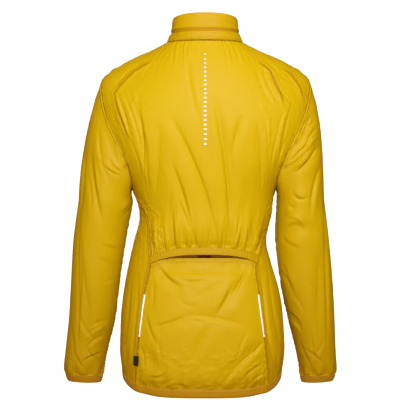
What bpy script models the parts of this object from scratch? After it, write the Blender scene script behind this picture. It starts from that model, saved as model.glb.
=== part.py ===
"""A light zip-front windbreaker with a stand collar, in its worn shape with nobody inside.

Units are metres, +Z up. The origin is in the middle of the neck opening, at the height of the collar
seam, where the wearer's neck and shoulders carry the jacket. The front faces -Y and the wearer's left
arm is on the +X side. The shape is a stack of rings round the body. An angle of 0 is the centre back,
90 the wearer's left side, -90 the right side and 180 the centre front.
"""

import math

import bmesh
import bpy
import numpy as np

# ---- driving sizes -------------------------------------------------------------------------------
CLOTH = 0.0015  # wall of one layer of cloth
BAND = 0.0022  # wall of an elastic binding, which is cloth folded over elastic
BAND_PROUD = 0.0004  # how far a binding stands out from the cloth beside it
SEAM_GAP = 0.0004  # parting between two pieces that are sewn together
FLOAT_GAP = 0.0004  # parting between a piece and what it lies on

VENT_BAND_HEIGHT = 0.013
VENT_CENTRE_Z = -0.4220  # lower edge of the elastic casing over the back vent
VENT_CORNER_Z = -0.4400
TAIL_TOP_Z = -0.4345  # upper edge of the tail panel, seen under the casing
TAIL_TUCK = 0.0062  # how far the tail panel's upper edge lies inside the casing

ZIP_WIDTH = 0.0100
SLIDER_WIDTH, SLIDER_HEIGHT, SLIDER_DEPTH = 0.0082, 0.0110, 0.0034
SLIDER_BELOW_TOP = 0.0150  # slider's middle under the collar's upper edge
BRIDGE_WIDTH, BRIDGE_THICK = 0.0016, 0.0009  # the slider's arch, which the pull tab hangs on
BRIDGE_LENGTH, BRIDGE_OPEN = 0.0080, 0.0024  # its height, and the room under it
PULL_WIDTH, PULL_LENGTH, PULL_THICK = 0.0060, 0.0240, 0.0010
WINDOW_WIDTH, WINDOW_LENGTH = 0.0034, 0.0058  # the tab's eye, which the arch passes through

REFLECTOR_WIDTH, REFLECTOR_THICK = 0.0040, 0.0008
REFLECTOR_INSET = 0.0012  # from the tail panel's edge
ARC_OVER_CHORD = 1.12  # how much longer the tail panel is, round its curve, than straight across
REFLECTOR_TOP_Z, REFLECTOR_FOOT_Z = -0.5010, -0.5820
LABEL_WIDTH, LABEL_HEIGHT, LABEL_THICK = 0.0125, 0.0210, 0.0009
LABEL_Z = -0.6320
LABEL_SHARE_BEHIND = 0.42  # share of the label's width on the back of the seam

# Rows of faces, from the foot up. The last two are beside the armhole and above it, and a front's
# first two are beside the tail panel and the vent's casing, so that points face points at the seams.
BACK_ROWS = (9, 11, 5)
TAIL_ROWS = 14
FRONT_ROWS = (7, 1, 9, 11, 5)
SLEEVE_COLUMNS_ROUND = 2 * BACK_ROWS[1]
SLEEVE_ROWS = (12, 13)  # below and above the elbow
CAP_SHARE = 0.36  # share of the sleeve's rows that lie above the underarm
SLEEVE_ENDS = ((0.0, 0.4796), (0.4804, 1.0))  # a sleeve is one cut piece, in two solids that part at the elbow

ROUNDNESS = 0.83  # exponent of the rings' sine and cosine: 1 is an ellipse, less is squarer
RIM_SLOPE = 1.25  # exponent of the collar's rim as it falls from back to side
TIP_RING, UNDERARM_RING = 3.0, 6.0  # rings at the armhole's top and bottom
ARMHOLE_BITE_BACK, ARMHOLE_BITE_FRONT = 33.0, 36.0  # how far round the body the armhole cuts, degrees
ARMHOLE_SKEW = 0.25  # how much deeper the armhole cuts below its middle than above it

# Directions, as (outwards, y, z), in which the sleeve leaves the armhole and reaches its first section.
LEAVE_TOP, LEAVE_FOOT, ARRIVE = (0.36, 0.0, -0.93), (0.35, 0.0, -0.94), (0.05, -0.02, -1.0)

# ---- tables --------------------------------------------------------------------------------------
TORSO_COLUMNS = (
    "z_back", "z_side", "z_front", "half_left", "half_right", "y_back", "y_side", "y_front")
TORSO = (  # a row for each ring, from the neck seam down to the hem's edge
    (-0.004, -0.004, -0.052, 0.0762, 0.0762, 0.068, 0.012, -0.064),  # 0 neck seam
    (-0.048, -0.024, -0.095, 0.1190, 0.1190, 0.085, 0.010, -0.084),  # 1
    (-0.093, -0.044, -0.132, 0.1620, 0.1640, 0.097, 0.007, -0.100),  # 2
    (-0.138, -0.078, -0.168, 0.2060, 0.2080, 0.104, 0.003, -0.113),  # 3 shoulder tip
    (-0.185, -0.140, -0.205, 0.2120, 0.2120, 0.107, 0.000, -0.122),  # 4
    (-0.236, -0.212, -0.246, 0.1880, 0.1880, 0.106, 0.000, -0.127),  # 5
    (-0.290, -0.294, -0.292, 0.1460, 0.1420, 0.103, 0.000, -0.124),  # 6 underarm
    (-0.345, -0.345, -0.345, 0.1310, 0.1330, 0.097, 0.000, -0.112),  # 7
    (-0.396, -0.396, -0.396, 0.1420, 0.1225, 0.092, 0.000, -0.103),  # 8 waist
    (-0.440, -0.440, -0.440, 0.1520, 0.1320, 0.095, 0.000, -0.104),  # 9 vent
    (-0.500, -0.500, -0.496, 0.1630, 0.1490, 0.106, 0.000, -0.110),  # 10
    (-0.560, -0.560, -0.545, 0.1685, 0.1565, 0.114, 0.000, -0.114),  # 11 hip
    (-0.622, -0.612, -0.588, 0.1690, 0.1580, 0.114, 0.000, -0.112),  # 12
    (-0.687, -0.657, -0.624, 0.1650, 0.1530, 0.107, 0.000, -0.106),  # 13 top of the hem binding
    (-0.700, -0.670, -0.637, 0.1625, 0.1505, 0.104, 0.000, -0.103),  # 14 hem edge
)
HEM_TOP_RING, HEM_RING = 13.0, 14.0
PANEL_FOOT = HEM_TOP_RING - 0.026  # the panels stop just short of the binding

# The seam between the back and each front, in degrees from the centre back.
SEAM_COLUMNS = ("left", "right")
SEAM = (  # a row for each ring, from the underarm down to the hem's edge
    (90.0, 90.0),
    (60.0, 80.0),
    (46.0, 69.0),
    (41.0, 46.5),
    (43.8, 41.8),
    (45.8, 42.8),
    (49.0, 46.5),
    (53.5, 51.5),
    (54.0, 52.0),
)

COLLAR_COLUMNS = ("z_back", "z_side", "z_front", "half", "y_back", "y_side", "y_front")
COLLAR = (  # a row for each ring, from the neck seam up to the collar's edge
    (-0.0036, -0.0036, -0.0515, 0.0762, 0.0682, 0.012, -0.0642),
    (0.0050, 0.0040, -0.0400, 0.0735, 0.0680, 0.012, -0.0655),
    (0.0160, 0.0130, -0.0260, 0.0708, 0.0670, 0.012, -0.0660),
    (0.0230, 0.0195, -0.0160, 0.0682, 0.0642, 0.012, -0.0650),
    (0.0300, 0.0260, -0.0080, 0.0668, 0.0625, 0.012, -0.0640),
    (0.0420, 0.0350, 0.0060, 0.0662, 0.0622, 0.012, -0.0635),
    (0.0540, 0.0440, 0.0200, 0.0640, 0.0600, 0.012, -0.0625),
)
COLLAR_TOP_RING = len(COLLAR) - 1.0

SLEEVE_COLUMNS = ("z_outer", "z_inner", "x_outer", "x_inner", "y_middle", "half_depth")
SLEEVE_LEFT = (  # a row for each section, from below the underarm to the cuff's edge
    (-0.316, -0.322, 0.2525, 0.1440, 0.000, 0.062),
    (-0.396, -0.396, 0.2635, 0.1580, -0.003, 0.058),
    (-0.480, -0.480, 0.2690, 0.1710, -0.010, 0.054),
    (-0.552, -0.552, 0.2740, 0.1800, -0.020, 0.051),
    (-0.612, -0.612, 0.2810, 0.1950, -0.030, 0.047),
    (-0.648, -0.650, 0.2850, 0.2030, -0.036, 0.043),
    (-0.668, -0.671, 0.2820, 0.2070, -0.038, 0.035),
    (-0.681, -0.684, 0.2770, 0.2110, -0.040, 0.032),
)
SLEEVE_RIGHT = (
    (-0.316, -0.322, 0.2385, 0.1430, 0.000, 0.062),
    (-0.396, -0.396, 0.2480, 0.1410, -0.003, 0.058),
    (-0.480, -0.480, 0.2560, 0.1510, -0.010, 0.054),
    (-0.552, -0.552, 0.2610, 0.1665, -0.020, 0.051),
    (-0.612, -0.612, 0.2640, 0.1820, -0.030, 0.047),
    (-0.648, -0.650, 0.2660, 0.1900, -0.036, 0.043),
    (-0.668, -0.671, 0.2640, 0.1930, -0.038, 0.035),
    (-0.681, -0.684, 0.2590, 0.1960, -0.040, 0.032),
)
CUFF_TOP_SECTION, CUFF_EDGE_SECTION = 6.0, 7.0
SLEEVE_FOOT = CUFF_TOP_SECTION - 0.035  # the sleeve stops just short of its binding

ZIP_SHARE_BELOW_NECK = 0.88  # share of the zip's rows below the neck seam

# Large folds, each a soft trough from (x0, z0) to (x1, z1) that bows sideways, seen from its face.
FOLD_COLUMNS = ("x0", "z0", "x1", "z1", "bow", "width", "depth")
FOLD_FADE, FOLD_FALL = 0.7, 0.8  # how bluntly a fold ends, and how steeply it falls off to its sides
BACK_FOLDS = (
    (0.068, -0.151, -0.024, -0.393, 0.011, 0.015, 0.0065),
    (-0.014, -0.113, -0.048, -0.397, 0.009, 0.015, 0.0075),
    (0.066, -0.239, 0.022, -0.384, 0.002, 0.012, 0.0045),
    (-0.072, -0.151, -0.050, -0.239, -0.003, 0.013, 0.0040),
    (-0.101, -0.166, -0.109, -0.287, 0.003, 0.012, 0.0040),
    (-0.072, -0.320, -0.053, -0.408, 0.000, 0.012, 0.0045),
    (0.090, -0.171, 0.100, -0.300, 0.004, 0.013, 0.0040),
    (0.133, -0.103, 0.119, -0.239, 0.003, 0.013, 0.0040),
)
TAIL_FOLDS = (
    (0.100, -0.446, 0.044, -0.490, -0.004, 0.013, 0.0050),
    (-0.087, -0.444, -0.019, -0.539, 0.004, 0.014, 0.0065),
    (0.097, -0.563, -0.092, -0.563, 0.022, 0.018, 0.0045),
    (-0.116, -0.592, -0.029, -0.669, -0.006, 0.015, 0.0060),
    (0.131, -0.597, 0.088, -0.660, 0.006, 0.015, 0.0050),
    (-0.019, -0.553, 0.029, -0.631, -0.004, 0.014, 0.0035),
)
FRONT_FOLDS = (
    (0.105, -0.190, 0.070, -0.400, 0.010, 0.018, 0.0060),
    (0.045, -0.330, 0.058, -0.560, -0.006, 0.018, 0.0050),
    (0.030, -0.080, 0.052, -0.200, 0.006, 0.015, 0.0040),
    (-0.100, -0.200, -0.065, -0.390, -0.009, 0.018, 0.0060),
    (-0.050, -0.350, -0.066, -0.570, 0.006, 0.018, 0.0050),
    (-0.034, -0.090, -0.060, -0.215, -0.006, 0.015, 0.0040),
)
SLEEVE_BACK_FOLDS = {
    "left": (
        (0.226, -0.218, 0.201, -0.360, -0.004, 0.014, 0.0060),
        (0.212, -0.130, 0.168, -0.270, 0.008, 0.014, 0.0065),
        (0.240, -0.430, 0.236, -0.620, 0.002, 0.015, 0.0050),
    ),
    "right": (
        (-0.222, -0.140, -0.146, -0.267, -0.006, 0.014, 0.0065),
        (-0.228, -0.203, -0.168, -0.262, 0.004, 0.013, 0.0060),
        (-0.150, -0.392, -0.222, -0.380, 0.014, 0.015, 0.0055),
        (-0.226, -0.420, -0.226, -0.600, -0.002, 0.015, 0.0045),
    ),
}
SLEEVE_FRONT_FOLDS = {
    "left": (
        (0.226, -0.160, 0.158, -0.270, 0.006, 0.014, 0.0060),
        (0.256, -0.390, 0.172, -0.440, 0.008, 0.015, 0.0065),
        (0.258, -0.455, 0.180, -0.490, -0.006, 0.015, 0.0060),
    ),
    "right": (
        (-0.222, -0.160, -0.154, -0.270, -0.006, 0.014, 0.0060),
        (-0.240, -0.395, -0.156, -0.445, -0.008, 0.015, 0.0065),
        (-0.244, -0.460, -0.160, -0.495, 0.006, 0.015, 0.0060),
    ),
}

# Gathers along an elastic edge: waves round the piece, and how far they run into the cloth.
VENT_GATHERS, VENT_GATHER_DEPTH, VENT_GATHER_REACH = 10, 0.0024, 0.055
HEM_GATHERS, HEM_GATHER_DEPTH, HEM_GATHER_REACH = 24, 0.0018, 0.035
HEM_TOP_BACK_Z, HEM_TOP_FRONT_Z = -0.687, -0.640  # heights that the hem's gathers rise from
CUFF_GATHERS, CUFF_GATHER_DEPTH = 8, 0.0020
WANDER = ((0.84, 2.3, 0.7), (0.53, 5.1, 0.0))  # unevenness of the gathers: radians, waves and phase
COLLAR_ROLLS = ((0.0012, 2.0, 0.94), (0.0006, 5.0, 0.0))  # soft rolls of the collar: metres, waves, phase
BLOUSE_DEPTH, BLOUSE_HEIGHT = 0.006, 0.035  # how far the back swells out over its casing, and how high up
TUCK_FOOT_Z, TUCK_RISE = -0.472, 0.028  # where the tail panel begins to lean in under the casing

YELLOW = (0.72, 0.43, 0.010, 1.0)
YELLOW_BINDING = (0.62, 0.34, 0.006, 1.0)
SILVER = (0.80, 0.80, 0.78, 1.0)
BLACK = (0.02, 0.022, 0.02, 1.0)


# ---- reading the tables --------------------------------------------------------------------------
def spline(rows, columns, place):
    """Each named column at place, a row number that may lie between rows, on a smooth curve."""
    values = np.array(rows)
    place = np.clip(np.asarray(place, float), 0.0, len(rows) - 1.0)
    low = np.minimum(place.astype(int), len(rows) - 2)
    t = (place - low)[..., None]
    before = values[np.maximum(low - 1, 0)]
    first, second = values[low], values[low + 1]
    after = values[np.minimum(low + 2, len(rows) - 1)]
    mixed = first + 0.5 * t * (
        second - before
        + t * (2 * before - 5 * first + 4 * second - after + t * (3 * (first - second) + after - before)))
    return dict(zip(columns, np.moveaxis(mixed, -1, 0)))


def smooth(t):
    t = np.clip(t, 0.0, 1.0)
    return t * t * (3.0 - 2.0 * t)


def stack(x, y, z):
    return np.stack(np.broadcast_arrays(x, y, z), axis=-1)


def ring_point(angle, ring, half, tilt=0.0):
    """A point on a ring that may stand higher at the back than at the side and the front. A tilt of 0
    keeps the ring level for a while at all four, and a tilt of 1 lets it slope evenly."""
    turn = np.radians(angle)
    sine, cosine = np.sin(turn), np.cos(turn)
    forward = cosine < 0
    y_end = np.where(forward, ring["y_front"], ring["y_back"])
    z_end = np.where(forward, ring["z_front"], ring["z_back"])
    x = half * np.sign(sine) * np.abs(sine) ** ROUNDNESS
    y = ring["y_side"] + (y_end - ring["y_side"]) * np.abs(cosine) ** ROUNDNESS
    share = smooth(np.abs(cosine)) * (1.0 - tilt) + np.abs(cosine) ** RIM_SLOPE * tilt
    z = ring["z_side"] + (z_end - ring["z_side"]) * share
    return stack(x, y, z)


def torso(angle, place):
    angle, place = np.broadcast_arrays(np.asarray(angle, float), np.asarray(place, float))
    ring = spline(TORSO, TORSO_COLUMNS, place)
    half = np.where(np.sin(np.radians(angle)) >= 0, ring["half_left"], ring["half_right"])
    return ring_point(angle, ring, half)


def collar_ring(angle, place):
    angle, place = np.broadcast_arrays(np.asarray(angle, float), np.asarray(place, float))
    ring = spline(COLLAR, COLLAR_COLUMNS, place)
    return ring_point(angle, ring, ring["half"], tilt=place / COLLAR_TOP_RING)


def torso_place(z):
    """The ring number at height z, between the rings where back and side are level."""
    places = np.linspace(UNDERARM_RING, HEM_RING, 161)
    heights = spline(TORSO, TORSO_COLUMNS, places)["z_back"]
    return np.interp(-np.asarray(z, float), -heights, places)


# ---- seam lines ----------------------------------------------------------------------------------
def armhole_turn(place):
    """How far round the armhole, 0 at its top and 180 at its bottom, a ring crosses it."""
    middle = (TIP_RING + UNDERARM_RING) / 2
    reach = (UNDERARM_RING - TIP_RING) / 2
    return np.degrees(np.arccos(np.clip((middle - place) / reach, -1.0, 1.0)))


def armhole(turn):
    """Angle from the side line and ring number of the armhole, 0 at the top, 90 at the back."""
    turn = np.asarray(turn, float)
    sine, cosine = np.sin(np.radians(turn)), np.cos(np.radians(turn))
    bite = np.where(sine >= 0, ARMHOLE_BITE_BACK, ARMHOLE_BITE_FRONT)
    place = (TIP_RING + UNDERARM_RING) / 2 - (UNDERARM_RING - TIP_RING) / 2 * cosine
    return bite * sine * (1.0 - ARMHOLE_SKEW * cosine), place


def back_edge(place, side):
    """Angle from the centre back where the back piece ends: shoulder seam, armhole, then side seam."""
    place = np.asarray(place, float)
    seam = spline(SEAM, SEAM_COLUMNS, place - UNDERARM_RING)["left" if side > 0 else "right"]
    bite, _ = armhole(armhole_turn(place))
    inside = (place > TIP_RING) & (place < UNDERARM_RING)
    return np.where(place <= TIP_RING, 90.0, np.where(inside, 90.0 - bite, seam))


def front_edge(place, side):
    """Angle from the centre back where the front piece begins."""
    place = np.asarray(place, float)
    bite, _ = armhole(-armhole_turn(place))
    inside = (place > TIP_RING) & (place < UNDERARM_RING)
    return np.where(inside, 90.0 - bite, back_edge(place, side))


def further_round(angle, place, distance):
    """The angle that lies a short distance further from the centre back on a ring."""
    step = 0.5
    length = np.linalg.norm(torso(angle + step, place) - torso(angle, place), axis=-1)
    return angle + distance * step / length


def angle_beside_zip(half, x):
    """Angle short of the centre front at which a ring of this half width passes x."""
    return 180.0 - np.degrees(np.arcsin((x / half) ** (1.0 / ROUNDNESS)))


# ---- folds and gathers ---------------------------------------------------------------------------
def trough(folds, x, z):
    """How far these folds sink the cloth at (x, z): a valley between two low shoulders."""
    sunk = np.zeros(np.broadcast(x, z).shape)
    for row in folds:
        fold = dict(zip(FOLD_COLUMNS, row))
        run_x, run_z = fold["x1"] - fold["x0"], fold["z1"] - fold["z0"]
        length = math.hypot(run_x, run_z)
        along = ((x - fold["x0"]) * run_x + (z - fold["z0"]) * run_z) / length**2
        aside = ((x - fold["x0"]) * run_z - (z - fold["z0"]) * run_x) / length
        aside = aside - fold["bow"] * 4.0 * along * (1.0 - along)
        inside = np.clip(along, 0.0, 1.0)
        fade = np.sin(np.pi * inside) ** FOLD_FADE * ((along > 0) & (along < 1))
        q = (aside / fold["width"]) ** 2
        sunk += fold["depth"] * fade * (1.0 - q) * np.exp(-FOLD_FALL * q)
    return sunk


def fade_at_edges(across, along, reach_across, reach_along):
    """0 on a piece's edges and 1 inside it, so that the pieces still meet at their seams."""
    return inside_ends(across, reach_across) * inside_ends(along, reach_along)


def waves_of(table, phase):
    return sum(size * np.sin(2 * np.pi * waves * phase + start) for size, waves, start in table)


def gathers(phase, waves, depth):
    """Uneven waves side by side along an elastic edge; phase runs from 0 to 1 along it."""
    return depth * np.cos(2 * np.pi * waves * phase + waves_of(WANDER, phase))


def inside_ends(share, reach, start=0.0):
    """0 at both ends of a piece, and 1 further in than start plus reach, as shares of its length."""
    return smooth((np.minimum(share, 1.0 - share) - start) / reach)


def outward(surface, across, along):
    """The surface's unit normal, pointing away from the wearer, from two short steps on it."""
    step = 1e-3
    along = np.minimum(along, 1 - step)
    here = surface(across, along)
    normal = np.cross(surface(across + step, along) - here, surface(across, along + step) - here)
    size = np.linalg.norm(normal, axis=-1, keepdims=True)
    return normal / np.maximum(size, 1e-12)


def raised(surface, lift):
    """The surface with each point moved out along its normal by lift(across, along, point)."""
    def placed(across, along):
        point = surface(across, along)
        return point + outward(surface, across, along) * lift(across, along, point)[..., None]
    return placed


# ---- surfaces of the pieces ----------------------------------------------------------------------
def vent_edge_z(across):
    """Height of the casing's lower edge: it arches up at the centre back."""
    return VENT_CORNER_Z + (VENT_CENTRE_Z - VENT_CORNER_Z) * (1.0 - np.abs(2.0 * across - 1.0) ** 2.2)


def back_angle(across, place, gap=SEAM_GAP / 2):
    """Angle of a point across the back, which runs from the left seam, 0, to the right one, 1."""
    offset = 1.0 - 2.0 * across
    left = further_round(back_edge(place, 1), place, -gap)
    right = further_round(back_edge(place, -1), place, -gap)
    return offset * np.where(offset > 0, left, right)


def rings_to_neck(along, counts, foot, below, at_seam):
    """Ring numbers up a piece from its foot to the neck. Where at_seam is 1 they follow below, up to the
    underarm, and then the sleeve's columns round the armhole; where it is 0 they are evenly spaced."""
    beside, above = counts[-2] / sum(counts), counts[-1] / sum(counts)
    start = 1.0 - beside - above
    _, round_armhole = armhole(180.0 * (1.0 - np.clip((along - start) / beside, 0.0, 1.0)))
    over = TIP_RING * (1.0 - along) / above
    matched = np.where(along < start, below, np.where(along < start + beside, round_armhole, over))
    even = foot * (1.0 - along)
    return np.maximum(even + (matched - even) * at_seam, 0.006)


def back_upper_surface(across, along):
    foot = torso_place(vent_edge_z(across) + VENT_BAND_HEIGHT + SEAM_GAP)
    below = foot + (UNDERARM_RING - foot) * along * sum(BACK_ROWS) / BACK_ROWS[0]
    at_seam = smooth((np.abs(2.0 * across - 1.0) - 0.3) / 0.65)
    place = rings_to_neck(along, BACK_ROWS, foot, below, at_seam)
    return torso(back_angle(across, place), place)


def back_upper_lift(across, along, point):
    x, z = point[..., 0], point[..., 2]
    rise = z - (vent_edge_z(across) + VENT_BAND_HEIGHT)
    near = np.exp(-((rise / VENT_GATHER_REACH) ** 2)) * smooth(rise / (VENT_BAND_HEIGHT / 2))
    edge = fade_at_edges(across, along, 0.10, 0.06)
    up = (rise - BLOUSE_HEIGHT) / BLOUSE_HEIGHT
    blouse = BLOUSE_DEPTH * np.exp(-(up**2)) * smooth(2 * rise / BLOUSE_HEIGHT)
    waves = gathers(across, VENT_GATHERS, VENT_GATHER_DEPTH) * near * inside_ends(across, 0.10)
    foot_free = inside_ends(across, 0.10) * smooth((1 - along) / 0.08)
    return waves + blouse * foot_free - trough(BACK_FOLDS, x, z) * np.maximum(edge, near * foot_free * 0.8)


def vent_band_surface(across, along):
    place = torso_place(vent_edge_z(across) + VENT_BAND_HEIGHT * along)
    return torso(back_angle(across, place), place)


def tail_edge_z(across):
    """Height of the tail panel's upper edge: level, and under the casing's edge at both ends."""
    return np.minimum(vent_edge_z(across) - 1.5 * SEAM_GAP, TAIL_TOP_Z)


def tail_surface(across, along):
    top = torso_place(tail_edge_z(across))
    place = PANEL_FOOT + (top - PANEL_FOOT) * along
    return torso(back_angle(across, place, gap=1.5 * SEAM_GAP), place)


def tail_lift(across, along, point):
    x, z = point[..., 0], point[..., 2]
    tuck = -TAIL_TUCK * smooth((z - TUCK_FOOT_Z) / TUCK_RISE) * inside_ends(across, 0.15, start=0.06)
    edge = fade_at_edges(across, along, 0.07, 0.06)
    rise = (z - HEM_TOP_BACK_Z) / HEM_GATHER_REACH
    waves = gathers(across, HEM_GATHERS * 0.4, HEM_GATHER_DEPTH) * np.exp(-(rise**2)) * edge
    return tuck + waves - trough(TAIL_FOLDS, x, z) * edge


def front_surface(side):
    def surface(across, along):
        ends = np.cumsum((0,) + FRONT_ROWS[:3]) / sum(FRONT_ROWS)
        vent_foot = torso_place(VENT_CORNER_Z - 1.5 * SEAM_GAP)
        vent_top = torso_place(VENT_CORNER_Z + VENT_BAND_HEIGHT + SEAM_GAP)
        below = np.interp(along, ends, (PANEL_FOOT, vent_foot, vent_top, UNDERARM_RING))
        share = 1.0 - across if side > 0 else across
        at_seam = smooth((0.85 - share) / 0.8)
        place = rings_to_neck(along, FRONT_ROWS, PANEL_FOOT, below, at_seam)
        ring = spline(TORSO, TORSO_COLUMNS, place)
        half = ring["half_left"] if side > 0 else ring["half_right"]
        first = further_round(front_edge(place, side), place, SEAM_GAP / 2)
        last = angle_beside_zip(half, ZIP_WIDTH / 2)
        return torso(side * (first + (last - first) * share), place)
    return surface


def front_lift(side):
    def lift(across, along, point):
        x, z = point[..., 0], point[..., 2]
        facing = smooth(-point[..., 1] / 0.03)
        edge = fade_at_edges(across, along, 0.10, 0.06)
        rise = (z - HEM_TOP_FRONT_Z) / HEM_GATHER_REACH
        waves = gathers(across, HEM_GATHERS * 0.3, HEM_GATHER_DEPTH) * np.exp(-(rise**2)) * edge
        return waves - trough(FRONT_FOLDS, x, z) * edge * facing
    return lift


def sleeve_section(side, turn, place):
    """A point on the lower sleeve; turn is 0 on the outside of the arm, 90 at the back."""
    rows = SLEEVE_LEFT if side > 0 else SLEEVE_RIGHT
    section = spline(rows, SLEEVE_COLUMNS, place)
    cosine, sine = np.cos(np.radians(turn)), np.sin(np.radians(turn))
    share = (1.0 + cosine) / 2.0
    x = section["x_inner"] + (section["x_outer"] - section["x_inner"]) * share
    z = section["z_inner"] + (section["z_outer"] - section["z_inner"]) * share
    return stack(side * x, section["y_middle"] + section["half_depth"] * sine, z)


def sleeve_cap(side, turn, t):
    """The top of the sleeve, from the armhole at t = 0 to the first section at t = 1."""
    bite, place = armhole(turn)
    start = torso(side * (90.0 - bite), place)
    end = sleeve_section(side, turn, 0.0)
    top = (1.0 + np.cos(np.radians(turn)))[..., None] / 2.0
    mirror = np.array([side, 1.0, 1.0])
    leave = (top * LEAVE_TOP + (1.0 - top) * LEAVE_FOOT) * mirror
    arrive = ARRIVE * mirror
    chord = np.linalg.norm(end - start, axis=-1, keepdims=True)
    s = np.asarray(t, float)[..., None]
    bend = (
        start * (2 * s**3 - 3 * s**2 + 1) + end * (3 * s**2 - 2 * s**3)
        + leave * chord * (s**3 - 2 * s**2 + s) + arrive * chord * (s**3 - s**2))
    clear = leave / np.linalg.norm(leave, axis=-1, keepdims=True) * 2 * SEAM_GAP
    return bend + clear * (1.0 - s)


def sleeve_surface(side):
    """Across runs round the arm; along runs from the cuff, 0, to the armhole, 1."""
    def surface(across, along):
        turn = 360.0 * across * side
        cap = sleeve_cap(side, turn, np.clip((1.0 - along) / CAP_SHARE, 0.0, 1.0))
        arm = sleeve_section(side, turn, SLEEVE_FOOT * (1.0 - along / (1.0 - CAP_SHARE)))
        return np.where((along > 1.0 - CAP_SHARE)[..., None], cap, arm)
    return surface


def sleeve_lift(side):
    name = "left" if side > 0 else "right"

    def lift(across, along, point):
        x, z = point[..., 0], point[..., 2]
        behind = smooth((np.sin(2 * np.pi * across * side) + 0.1) / 0.5)
        ahead = smooth((-np.sin(2 * np.pi * across * side) + 0.1) / 0.5)
        edge = smooth((1.0 - along) / 0.08) * smooth(along / 0.06)
        near_cuff = np.exp(-(((along - 0.05) / 0.06) ** 2)) * smooth(along / 0.03)
        sunk = trough(SLEEVE_BACK_FOLDS[name], x, z) * behind + trough(SLEEVE_FRONT_FOLDS[name], x, z) * ahead
        return CUFF_GATHER_DEPTH * np.cos(2 * np.pi * CUFF_GATHERS * across) * near_cuff - sunk * edge
    return lift


def stretch_of(surface, foot, top):
    """The part of a surface whose along lies between foot and top."""
    return lambda across, along: surface(across, foot + (top - foot) * along)


def cuff_surface(side):
    def surface(across, along):
        turn = 360.0 * across * side
        return sleeve_section(side, turn, CUFF_EDGE_SECTION + (CUFF_TOP_SECTION - CUFF_EDGE_SECTION) * along)
    return surface


def collar_surface(across, along):
    place = COLLAR_TOP_RING * along
    limit = angle_beside_zip(spline(COLLAR, COLLAR_COLUMNS, place)["half"], ZIP_WIDTH / 2)
    return collar_ring(limit * (1.0 - 2.0 * across), place)


def collar_lift(across, along, point):
    """The lower half sags over its own stitching in a few shallow rolls."""
    return waves_of(COLLAR_ROLLS, across) * smooth(along / 0.15) * smooth((0.55 - along) / 0.2)


def hem_surface(across, along):
    place = HEM_RING + (HEM_TOP_RING - HEM_RING) * along
    ring = spline(TORSO, TORSO_COLUMNS, place)
    offset = 1.0 - 2.0 * across
    half = np.where(offset >= 0, ring["half_left"], ring["half_right"])
    return torso(offset * angle_beside_zip(half, ZIP_WIDTH / 2), place)


def zip_surface(across, along):
    """The closed zip's strip, from the hem up over the chest to the collar's edge."""
    share = ZIP_SHARE_BELOW_NECK
    x = (ZIP_WIDTH / 2 - SEAM_GAP) * (2.0 * across - 1.0)
    body = torso(180.0, HEM_RING * (1.0 - np.minimum(along / share, 1.0)))
    neck = collar_ring(180.0, COLLAR_TOP_RING * np.clip((along - share) / (1.0 - share), 0.0, 1.0))
    middle = np.where((along < share)[..., None], body, neck)
    return middle + stack(x, 0.0 * x, 0.0 * x)


# ---- making objects ------------------------------------------------------------------------------
def material(name, colour, roughness, metallic=0.0):
    made = bpy.data.materials.new(name)
    made.use_nodes = True
    shader = made.node_tree.nodes["Principled BSDF"]
    shader.inputs["Base Color"].default_value = colour
    shader.inputs["Roughness"].default_value = roughness
    shader.inputs["Metallic"].default_value = metallic
    return made


def link(name, mesh, finish, collection):
    made = bpy.data.objects.new(name, mesh)
    made.data.materials.append(finish)
    collection.objects.link(made)
    return made


def cloth(name, surface, columns, rows, finish, collection, wall=CLOTH, tube=False):
    """A wall of cloth: a flat grid whose points go where surface(across, along) says, made solid inwards."""
    work = bmesh.new()
    bmesh.ops.create_grid(work, x_segments=columns, y_segments=rows, size=1.0)
    flat = np.array([vertex.co for vertex in work.verts])
    placed = surface((flat[:, 0] + 1.0) / 2.0, (flat[:, 1] + 1.0) / 2.0)
    for vertex, point in zip(work.verts, placed):
        vertex.co = point
    if tube:
        bmesh.ops.remove_doubles(work, verts=work.verts, dist=1e-6)
    mesh = bpy.data.meshes.new(name)
    work.to_mesh(mesh)
    work.free()
    mesh.shade_smooth()
    made = link(name, mesh, finish, collection)
    solid = made.modifiers.new("wall", "SOLIDIFY")
    solid.thickness = wall
    solid.offset = -1.0
    return made


def moved_out(surface, distance):
    return raised(surface, lambda across, along, point: np.full(across.shape, distance))


def box(name, size, centre, finish, collection, bevel=0.0, pivot=(0.0, 0.0, 0.0)):
    """A block whose object origin lies at centre, with its own middle at pivot from there."""
    work = bmesh.new()
    bmesh.ops.create_cube(work, size=1.0)
    bmesh.ops.scale(work, vec=size, verts=work.verts)
    bmesh.ops.translate(work, vec=pivot, verts=work.verts)
    mesh = bpy.data.meshes.new(name)
    work.to_mesh(mesh)
    work.free()
    made = link(name, mesh, finish, collection)
    made.location = centre
    if bevel:
        rounded = made.modifiers.new("edges", "BEVEL")
        rounded.width = bevel
        rounded.segments = 2
    return made


def combine(made, other, operation):
    """Adds a Boolean with another object, which is a hidden helper."""
    change = made.modifiers.new(other.name, "BOOLEAN")
    change.operation = operation
    change.object = other
    other.hide_render = True
    other.display_type = "WIRE"


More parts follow.
